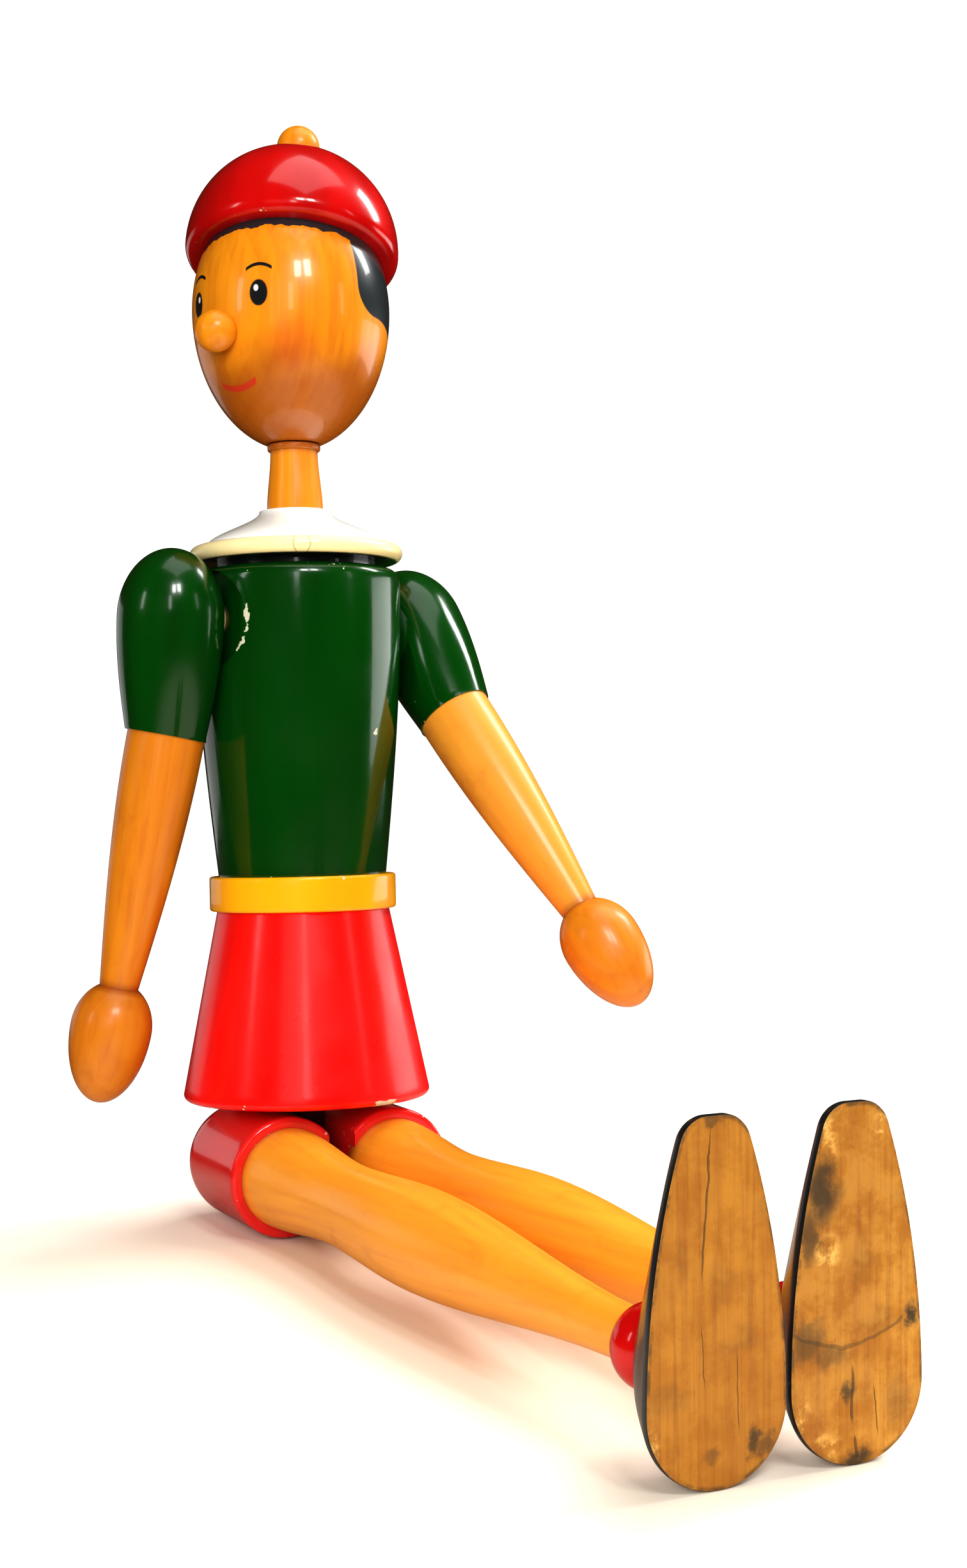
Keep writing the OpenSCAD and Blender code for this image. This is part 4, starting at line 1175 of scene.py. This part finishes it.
class DOLL_OT_neck(bpy.types.Operator):
    """Turns the neck with the ring at its top"""

    bl_idname = "doll.neck"
    bl_label = "Neck"
    bl_options = UNDOABLE

    def execute(self, context):
        trunk, z = doll().trunk, heights()
        foot = z["top"] + trunk.collar_height
        lip = trunk.ring_height / 3
        ring = z["ring"] - trunk.ring_height
        profile = [(0, foot), (trunk.neck_radius, foot)]
        profile += eased((trunk.neck_radius, foot), (trunk.neck_top, ring))
        profile += low_edge(trunk.ring_radius, ring, lip) + top_edge(trunk.ring_radius, z["ring"], lip)
        profile += [(0, z["ring"])]
        turned_piece("neck", profile, trunk_place(), "trunk", "honey_wood", stock=0.73, soil_and_shade=self.soil_and_shade)
        return {"FINISHED"}

    def soil_and_shade(self, spot):
        """Darker on the ring and just under it, below the chin."""
        ring = heights()["ring"] - doll().trunk.ring_height
        return NECK_RING_DARKER * ease(max(0.0, min(1.0, (spot.z - ring + 2 * MM) / (3 * MM))))


class DOLL_OT_head(bpy.types.Operator):
    """Turns the head and paints its face and hair"""

    bl_idname = "doll.head"
    bl_label = "Head"
    bl_options = UNDOABLE

    def execute(self, context):
        head = doll().head
        low = -math.degrees(math.asin(chin_share()))
        centre = (0, head.low_height)
        profile = [(0, 0)] + arc(centre, (head.radius, head.low_height / chin_share()), low, 0)
        profile += arc(centre, (head.radius, head.crown_height), 0, 90)[1:]
        seat = block((-CUTTER_REACH, -CUTTER_REACH, 0), (CUTTER_REACH,) * 3)
        seat.transform(head_place().inverted() @ cap_place())
        turned_piece("head", profile, head_place(), "head", "face_paint", stock=0.87,
                     cutters=[seat])
        return {"FINISHED"}


class DOLL_OT_nose(bpy.types.Operator):
    """Turns the round nose"""

    bl_idname = "doll.nose"
    bl_label = "Nose"
    bl_options = UNDOABLE

    def execute(self, context):
        head = doll().head
        drop = (head.low_height - head.nose_height) * chin_share() / head.low_height
        face = head.radius * math.sqrt(1 - drop ** 2)
        middle = face + head.nose_radius - head.nose_sink
        profile = arc((0, 0), (head.nose_radius, head.nose_radius), -90, 90)
        aim = Matrix.Translation((0, -middle, head.nose_height)) @ Matrix.Rotation(math.pi / 2, 4, "X")
        turned_piece("nose", profile, head_place() @ aim, "head", "honey_wood", stock=0.19)
        return {"FINISHED"}


class DOLL_OT_cap(bpy.types.Operator):
    """Turns the red cap and the knob on it"""

    bl_idname = "doll.cap"
    bl_label = "Cap and knob"
    bl_options = UNDOABLE

    def execute(self, context):
        head = doll().head
        lip = head.cap_radius - head.cap_low_radius
        flat = math.degrees(math.acos(head.cap_flat / head.cap_radius))
        dome = (head.cap_height - head.cap_lip) / math.sin(math.radians(flat))
        profile = [(0, 0)]
        profile += arc((head.cap_low_radius, head.cap_lip), (lip, head.cap_lip), -90, 0, EDGE_STEPS * 2)
        profile += arc((0, head.cap_lip), (head.cap_radius, dome), 0, flat)[1:] + [(0, head.cap_height)]
        turned_piece("cap", profile, cap_place(), "head", "crimson_lacquer", stock=0.31)
        radius = head.knob_radius
        foot = -math.degrees(math.acos(head.cap_flat / radius))
        middle = head.cap_height + math.sqrt(radius ** 2 - head.cap_flat ** 2)
        ball = [(0, head.cap_height)] + arc((0, middle), (radius, radius), foot, 90)
        turned_piece("cap_knob", ball, cap_place(), "head", "honey_wood", stock=0.41)
        return {"FINISHED"}


class DOLL_OT_sleeves(bpy.types.Operator):
    """Turns the green sleeves, cut square to the forearms and planed towards the torso"""

    bl_idname = "doll.sleeves"
    bl_label = "Sleeves"
    bl_options = UNDOABLE

    def execute(self, context):
        arms = doll().arms
        low = -arms.sleeve_length - arms.mouth_radius * math.tan(arms.elbow_angle)
        profile = [(0, low), (arms.mouth_radius, low)]
        profile += swelling((arms.mouth_radius, -arms.sleeve_length), (arms.sleeve_radius, 0))
        profile += arc((0, 0), (arms.sleeve_radius, arms.dome_height), 0, 90)[1:]
        for i, (side, sign) in enumerate(SIDES):
            mouth = block((-CUTTER_REACH,) * 3, (CUTTER_REACH, CUTTER_REACH, 0))
            mouth.transform(elbow_turn(sign))
            turned_piece(side + "_sleeve", profile, arm_place(side), side + "_arm", "green_lacquer",
                         stock=0.53 + 0.2 * i, cutters=[mouth, self.inner_cut(sign)])
        return {"FINISHED"}

    def inner_cut(self, sign):
        """What is planed off the sleeve's inner side, all but its round boss."""
        arms = doll().arms
        near, boss = arms.inner_flat, arms.boss_radius
        deep, wide = 2 * arms.sleeve_radius, 3 * arms.sleeve_radius
        cutter = spin([(boss, near), (wide, near), (wide, deep), (boss, deep), (boss, near)], "green_lacquer")
        cutter.transform(Matrix.Rotation(-sign * math.pi / 2, 4, "Y"))
        return cutter


class DOLL_OT_forearms(bpy.types.Operator):
    """Turns the forearms"""

    bl_idname = "doll.forearms"
    bl_label = "Forearms"
    bl_options = UNDOABLE

    def execute(self, context):
        arms = doll().arms
        wrist = (arms.wrist_radius, -arms.forearm_length)
        profile = [(0, wrist[1])] + swelling(wrist, (arms.forearm_radius, 0)) + [(0, 0)]
        for i, (side, sign) in enumerate(SIDES):
            # Painted shade darkens the right forearm, which lies in shade, more than the left; painted light
            # makes the left forearm paler
            soil_and_shade = FOREARM_SOIL_AND_SHADE - LEFT_LESS_SHADE * i
            turned_piece(side + "_forearm", profile, arm_place(side) @ elbow_turn(sign), side + "_arm",
                         "honey_wood", stock=0.17 + 0.33 * i, rub_and_light=lambda spot: LEFT_FOREARM_PAINTED_LIGHT * i,
                         soil_and_shade=lambda spot: soil_and_shade + WRIST_SOIL * faded(spot.z - wrist[1], 2.5 * MM))
        return {"FINISHED"}


class DOLL_OT_hands(bpy.types.Operator):
    """Turns the egg-shaped hands"""

    bl_idname = "doll.hands"
    bl_label = "Hands"
    bl_options = UNDOABLE

    def execute(self, context):
        arms = doll().arms
        start = math.degrees(math.acos(arms.wrist_radius / arms.hand_radius))
        upper = arms.hand_wide_at / math.sin(math.radians(start))
        centre = (0, -arms.hand_wide_at)
        profile = arc(centre, (arms.hand_radius, arms.hand_length - arms.hand_wide_at), -90, 0)
        profile += arc(centre, (arms.hand_radius, upper), 0, start)[1:] + [(0, 0)]
        wrist = Matrix.Translation((0, 0, -arms.forearm_length))
        for i, (side, sign) in enumerate(SIDES):
            # The right hand is darker with soil and painted shade, as that arm lies in shade; the left hand
            # less so
            soil_and_shade = HAND_SOIL_AND_SHADE - LEFT_LESS_SHADE * i
            turned_piece(side + "_hand", profile, arm_place(side) @ elbow_turn(sign) @ wrist, side + "_arm",
                         "honey_wood", stock=0.67 + 0.24 * i,
                         soil_and_shade=lambda spot: soil_and_shade + WRIST_SOIL * faded(-spot.z, 2 * MM))
        return {"FINISHED"}


class DOLL_OT_cuffs(bpy.types.Operator):
    """Turns the red thigh cuffs and planes their inner sides"""

    bl_idname = "doll.cuffs"
    bl_label = "Thigh cuffs"
    bl_options = UNDOABLE

    def execute(self, context):
        legs = doll().legs
        seat = legs.cuff_length - legs.cuff_seat
        profile = arc((0, 0), (legs.cuff_radius, legs.cuff_radius), -90, 0)
        profile += top_edge(legs.cuff_radius, legs.cuff_length, legs.cuff_round)
        profile += [(legs.thigh_radius, legs.cuff_length), (legs.thigh_radius, seat), (0, seat)]
        for i, (side, sign) in enumerate(SIDES):
            planed = block((legs.cuff_flat, -CUTTER_REACH, -CUTTER_REACH), (CUTTER_REACH,) * 3)
            planed.transform(Matrix.Rotation(0 if sign < 0 else math.pi, 4, "Z"))
            turned_piece(side + "_thigh_cuff", profile, leg_place(side), side + "_leg", "rose_lacquer",
                         stock=0.37 + 0.2 * i, cutters=[planed])
        return {"FINISHED"}


class DOLL_OT_legs(bpy.types.Operator):
    """Turns the legs"""

    bl_idname = "doll.legs"
    bl_label = "Legs"
    bl_options = UNDOABLE

    def execute(self, context):
        legs = doll().legs
        thigh = (legs.thigh_radius, legs.cuff_length - legs.cuff_seat)
        ankle = (legs.ankle_radius, legs.leg_length - legs.shoe_height - legs.bead_length)
        knee, calf = (legs.knee_radius, legs.knee_at), (legs.calf_radius, legs.calf_at)
        profile = [(0, thigh[1]), thigh] + eased(thigh, knee)
        profile += eased(knee, calf) + eased(calf, ankle) + [(0, ankle[1])]
        for i, (side, _) in enumerate(SIDES):
            turned_piece(side + "_leg", profile, leg_place(side), side + "_leg", "honey_wood",
                         stock=0.23 + 0.36 * i, rub_and_light=lambda spot: LEG_RUB,
                         soil_and_shade=lambda spot: THIGH_SOIL * faded(spot.z - legs.cuff_length, 3 * MM))
        return {"FINISHED"}


class DOLL_OT_beads(bpy.types.Operator):
    """Turns the red ankle beads"""

    bl_idname = "doll.beads"
    bl_label = "Ankle beads"
    bl_options = UNDOABLE

    def execute(self, context):
        legs = doll().legs
        end = math.degrees(math.acos(legs.bead_end / legs.bead_radius))
        half = legs.bead_length / 2
        middle = legs.leg_length - legs.shoe_height - half
        profile = [(0, middle - half)]
        profile += arc((0, middle), (legs.bead_radius, half / math.sin(math.radians(end))), -end, end)
        profile += [(0, middle + half)]
        for i, (side, _) in enumerate(SIDES):
            turned_piece(side + "_ankle_bead", profile, leg_place(side), side + "_leg", "crimson_lacquer",
                         stock=0.43 + 0.3 * i)
        return {"FINISHED"}


class DOLL_OT_shoes(bpy.types.Operator):
    """Shapes the black shoes with their bare wood soles"""

    bl_idname = "doll.shoes"
    bl_label = "Shoes"
    bl_options = UNDOABLE

    def execute(self, context):
        for i, (side, _) in enumerate(SIDES):
            hand_over(side + "_shoe", self.shoe(side), leg_place(side), side + "_leg",
                      stock=0.11 + 0.5 * i)
        return {"FINISHED"}

    def outline(self):
        """Points round the sole, from the heel's bottom by the doll's left side to the toe and back."""
        legs = doll().legs
        heel_y = legs.heel_radius - legs.ankle_height
        top_y = legs.sole_length - legs.ankle_height
        toe_y = top_y - legs.toe_corner
        run = legs.side_radius - legs.toe_corner
        side_x = legs.heel_radius - legs.side_radius
        lean = math.degrees(math.asin((toe_y - heel_y) / run))
        corner_x = side_x + run * math.cos(math.radians(lean))
        half = arc((0, heel_y), (legs.heel_radius,) * 2, -90, 0)
        half += arc((side_x, heel_y), (legs.side_radius,) * 2, 0, lean)[1:]
        half += arc((corner_x, toe_y), (legs.toe_corner,) * 2, lean, 90, EDGE_STEPS * 2)[1:]
        half += [(corner_x * (1 - i / EDGE_STEPS), top_y) for i in range(1, EDGE_STEPS + 1)]
        return half + [(-x, y) for x, y in reversed(half[1:-1])]

    def rings(self):
        """Inset, height and gather of each ring, from the sole's edge to the ankle."""
        legs = doll().legs
        sole, welt = legs.leg_length, legs.leg_length - legs.welt_height
        step = WELT_STEP * SOLE_EDGE
        rings = []
        for angle in (math.pi / 2, math.pi / 4, 0):
            inset, drop = SOLE_EDGE * (1 - math.cos(angle)), SOLE_EDGE * math.sin(angle)
            rings.append((inset, sole - SOLE_EDGE + drop, 0.0))
        rings += [(0.0, welt + SOLE_EDGE, 0.0), (step, welt, 0.0)]
        for i in range(1, CURVE_STEPS // 2 + 1):
            t = i / (CURVE_STEPS // 2)
            lift = t + UPPER_SWELL * math.sin(math.pi * t)
            rings.append((step, welt - (legs.shoe_height - legs.welt_height) * lift, t))
        return rings

    def spot(self, x, y, inset, z, gather):
        """A point of a ring: drawn in from the sole's outline, then gathered towards the ankle."""
        reach = math.hypot(x, y)
        share = (1 - inset / reach) * (1 + (doll().legs.instep_radius / reach - 1) * gather)
        return x * share, y * share, z

    def shoe(self, side):
        """A closed shoe: rings of points on the sole's face, then over its edge and up to the ankle."""
        legs, outline = doll().legs, self.outline()
        middle = (legs.sole_length - 2 * legs.ankle_height) / 2
        form = bmesh.new()
        upper = [[form.verts.new(self.spot(x, y, *ring)) for x, y in outline] for ring in self.rings()]
        edge = [vert.co for vert in upper[0]]
        under = [[form.verts.new((co.x * share, middle + (co.y - middle) * share, legs.leg_length))
                  for co in edge] for share in SOLE_RINGS]
        loops = under + upper
        form.faces.new(loops[0]).material_index = 1
        form.faces.new(loops[-1]).material_index = 0
        for number, (low, high) in enumerate(zip(loops, loops[1:])):
            for j in range(len(outline)):
                k = (j + 1) % len(outline)
                face = form.faces.new((low[j], high[j], high[k], low[k]))
                face.material_index = 1 if number <= len(under) else 0
        bmesh.ops.recalc_face_normals(form, faces=form.faces)
        for face in form.faces:
            face.smooth = True
        mesh = bpy.data.meshes.new(side + "_shoe_piece")
        form.to_mesh(mesh)
        form.free()
        for coating in ("shoe_black", side + "_sole"):
            mesh.materials.append(finish(coating))
        return mesh


class DOLL_OT_fittings(bpy.types.Operator):
    """Finishes the hidden dowels, pegs and pins"""

    bl_idname = "doll.fittings"
    bl_label = "Hidden fittings"
    bl_options = UNDOABLE

    def execute(self, context):
        for name, node in frame["nodes"].items():
            if node.hide_render:
                continue
            kind = "pin_steel" if "pin" in name.split("_")[-1] else "dowel_wood"
            node.data.materials.clear()
            # The hip block gets the dark wood, as painted shade under the skirt
            node.data.materials.append(finish("painted_shade_wood" if name == "hip_block" else kind))
        return {"FINISHED"}


class DOLL_OT_stage(bpy.types.Operator):
    """Sets the pale floor, the soft lights and the camera"""

    bl_idname = "doll.stage"
    bl_label = "Stage"
    bl_options = UNDOABLE

    def execute(self, context):
        scene, stage = context.scene, doll().stage
        scene.view_settings.view_transform = "Standard"
        scene.view_settings.look = "Medium High Contrast"
        camera = bpy.data.cameras.new("camera")
        camera.lens, camera.sensor_width = stage.lens, 36.0
        camera.clip_start, camera.clip_end = 0.01, 20.0
        eye = bpy.data.objects.new("camera", camera)
        eye.location = stage.camera_place
        eye.rotation_euler = (math.pi / 2 - stage.camera_pitch, 0, -stage.camera_yaw)
        scene.collection.objects.link(eye)
        scene.camera = eye
        self.floor()
        self.world()
        self.lamp("key", (0.85, 0.30, 1.15), (1.2, 1.1), stage.key_power)
        self.lamp("window", (0.95, 0.10, 0.95), (0.22, 0.42), stage.pane_power)
        self.lamp("fill", (-0.85, -1.05, 0.50), (0.6, 0.7), stage.fill_power)
        self.lamp("sky", (0.15, -0.15, 1.75), (1.3, 1.1), stage.sky_power)
        self.lamp("side", (1.20, 0.05, 0.22), (0.80, 0.36), stage.side_power)
        self.lamp("wall", (-0.45, 1.25, 0.18), (0.80, 0.40), stage.wall_power)
        for i in range(2):
            self.lamp("pane_" + str(i), (-0.28 + 0.26 * i, -1.05, 1.05), (0.17, 0.30), stage.pane_power)
        for i, (degrees, share) in enumerate(STRIPS):
            angle = math.radians(degrees)
            spot = (STRIP_AWAY * math.sin(angle), -STRIP_AWAY * math.cos(angle), STRIP_HEIGHT)
            self.lamp("strip_" + str(i), spot, (0.14, 0.44), stage.strip_power * share)
        return {"FINISHED"}

    def lamp(self, name, spot, size, watts):
        """A light that faces the doll."""
        light = bpy.data.lights.new(name, "AREA")
        light.shape, light.size, light.size_y, light.energy = "RECTANGLE", size[0], size[1], watts
        holder = bpy.data.objects.new(name + "_light", light)
        holder.location = spot
        holder.rotation_euler = (LAMP_AIM - Vector(spot)).to_track_quat("-Z", "Y").to_euler()
        holder.visible_glossy = name not in MATTE_LAMPS
        bpy.context.scene.collection.objects.link(holder)

    def floor(self):
        """A round pale floor that fades out into the white studio."""
        stage = doll().stage
        mesh = bpy.data.meshes.new("floor")
        form = bmesh.new()
        bmesh.ops.create_circle(form, cap_ends=True, segments=96, radius=stage.floor_radius)
        form.to_mesh(mesh)
        form.free()
        material = bpy.data.materials.new("pale_floor")
        material.use_nodes = True
        tree = material.node_tree
        tree.nodes.clear()
        place = put(tree, "ShaderNodeTexCoord").outputs["Object"]
        from_middle = shift(tree, "SUBTRACT", place, FLOOR_MIDDLE)
        away = rise(tree, shift(tree, "LENGTH", from_middle), *FLOOR_FADE)
        paper = cloud(tree, place, scale=900)
        shade = [channel * 0.985 for channel in stage.floor_tint]
        sheet = mixed(tree, paper, shade, stage.floor_tint)
        mirrored = put(tree, "ShaderNodeLightPath").outputs["Is Glossy Ray"]
        dim = [channel * stage.floor_mirrored for channel in stage.floor_tint]
        matte = put(tree, "ShaderNodeBsdfDiffuse", {"Color": mixed(tree, mirrored, sheet, dim)}).outputs[0]
        clear = put(tree, "ShaderNodeBsdfTransparent").outputs[0]
        faded_out = put(tree, "ShaderNodeMixShader", {0: away, 1: matte, 2: clear}).outputs[0]
        put(tree, "ShaderNodeOutputMaterial", {"Surface": faded_out})
        mesh.materials.append(material)
        floor = bpy.data.objects.new("floor", mesh)
        bpy.context.scene.collection.objects.link(floor)

    def world(self):
        """White walls behind, which light the doll more gently than they look."""
        stage = doll().stage
        world = bpy.data.worlds.new("studio")
        bpy.context.scene.world = world
        world.use_nodes = True
        tree = world.node_tree
        tree.nodes.clear()
        path = put(tree, "ShaderNodeLightPath").outputs
        strength = between(tree, path["Is Glossy Ray"], stage.dome, stage.dome * stage.mirrored)
        walls = put(tree, "ShaderNodeBackground", {"Color": (1, 1, 1, 1), "Strength": 1.0}).outputs[0]
        warm = (*stage.dome_tint, 1)
        glow = put(tree, "ShaderNodeBackground", {"Color": warm, "Strength": strength}).outputs[0]
        both = put(tree, "ShaderNodeMixShader", {0: path["Is Camera Ray"], 1: glow, 2: walls}).outputs[0]
        put(tree, "ShaderNodeOutputWorld", {"Surface": both})


OPERATORS = (
    DOLL_OT_skirt, DOLL_OT_belt, DOLL_OT_torso, DOLL_OT_collar, DOLL_OT_neck, DOLL_OT_head, DOLL_OT_nose,
    DOLL_OT_cap, DOLL_OT_sleeves, DOLL_OT_forearms, DOLL_OT_hands, DOLL_OT_cuffs, DOLL_OT_legs, DOLL_OT_beads,
    DOLL_OT_shoes, DOLL_OT_fittings, DOLL_OT_stage)


class DOLL_PT_panel(bpy.types.Panel):
    """Lists the doll's pieces, sizes and colours"""

    bl_idname = "DOLL_PT_panel"
    bl_label = "Jointed Wooden Doll"
    bl_space_type = "VIEW_3D"
    bl_region_type = "UI"
    bl_category = "Doll"

    def draw(self, context):
        settings = context.scene.wooden_doll
        for operator in OPERATORS:
            self.layout.operator(operator.bl_idname)
        self.layout.prop(settings, "segments")
        for name in ("trunk", "head", "arms", "legs", "finishes", "stage"):
            group = getattr(settings, name)
            column = self.layout.box().column()
            for key in group.__annotations__:
                column.prop(group, key)


CLASSES = (TrunkSizes, HeadSizes, ArmSizes, LegSizes, Finishes, StageSettings, DollSettings, *OPERATORS,
           DOLL_PT_panel)


def register():
    for entry in CLASSES:
        bpy.utils.register_class(entry)
    bpy.types.Scene.wooden_doll = PointerProperty(type=DollSettings)


def unregister():
    del bpy.types.Scene.wooden_doll
    for entry in reversed(CLASSES):
        bpy.utils.unregister_class(entry)


def main():
    """Makes the doll and its stage."""
    register()
    for operator in OPERATORS:
        group, name = operator.bl_idname.split(".")
        getattr(getattr(bpy.ops, group), name)()


if __name__ == "__main__":
    main()
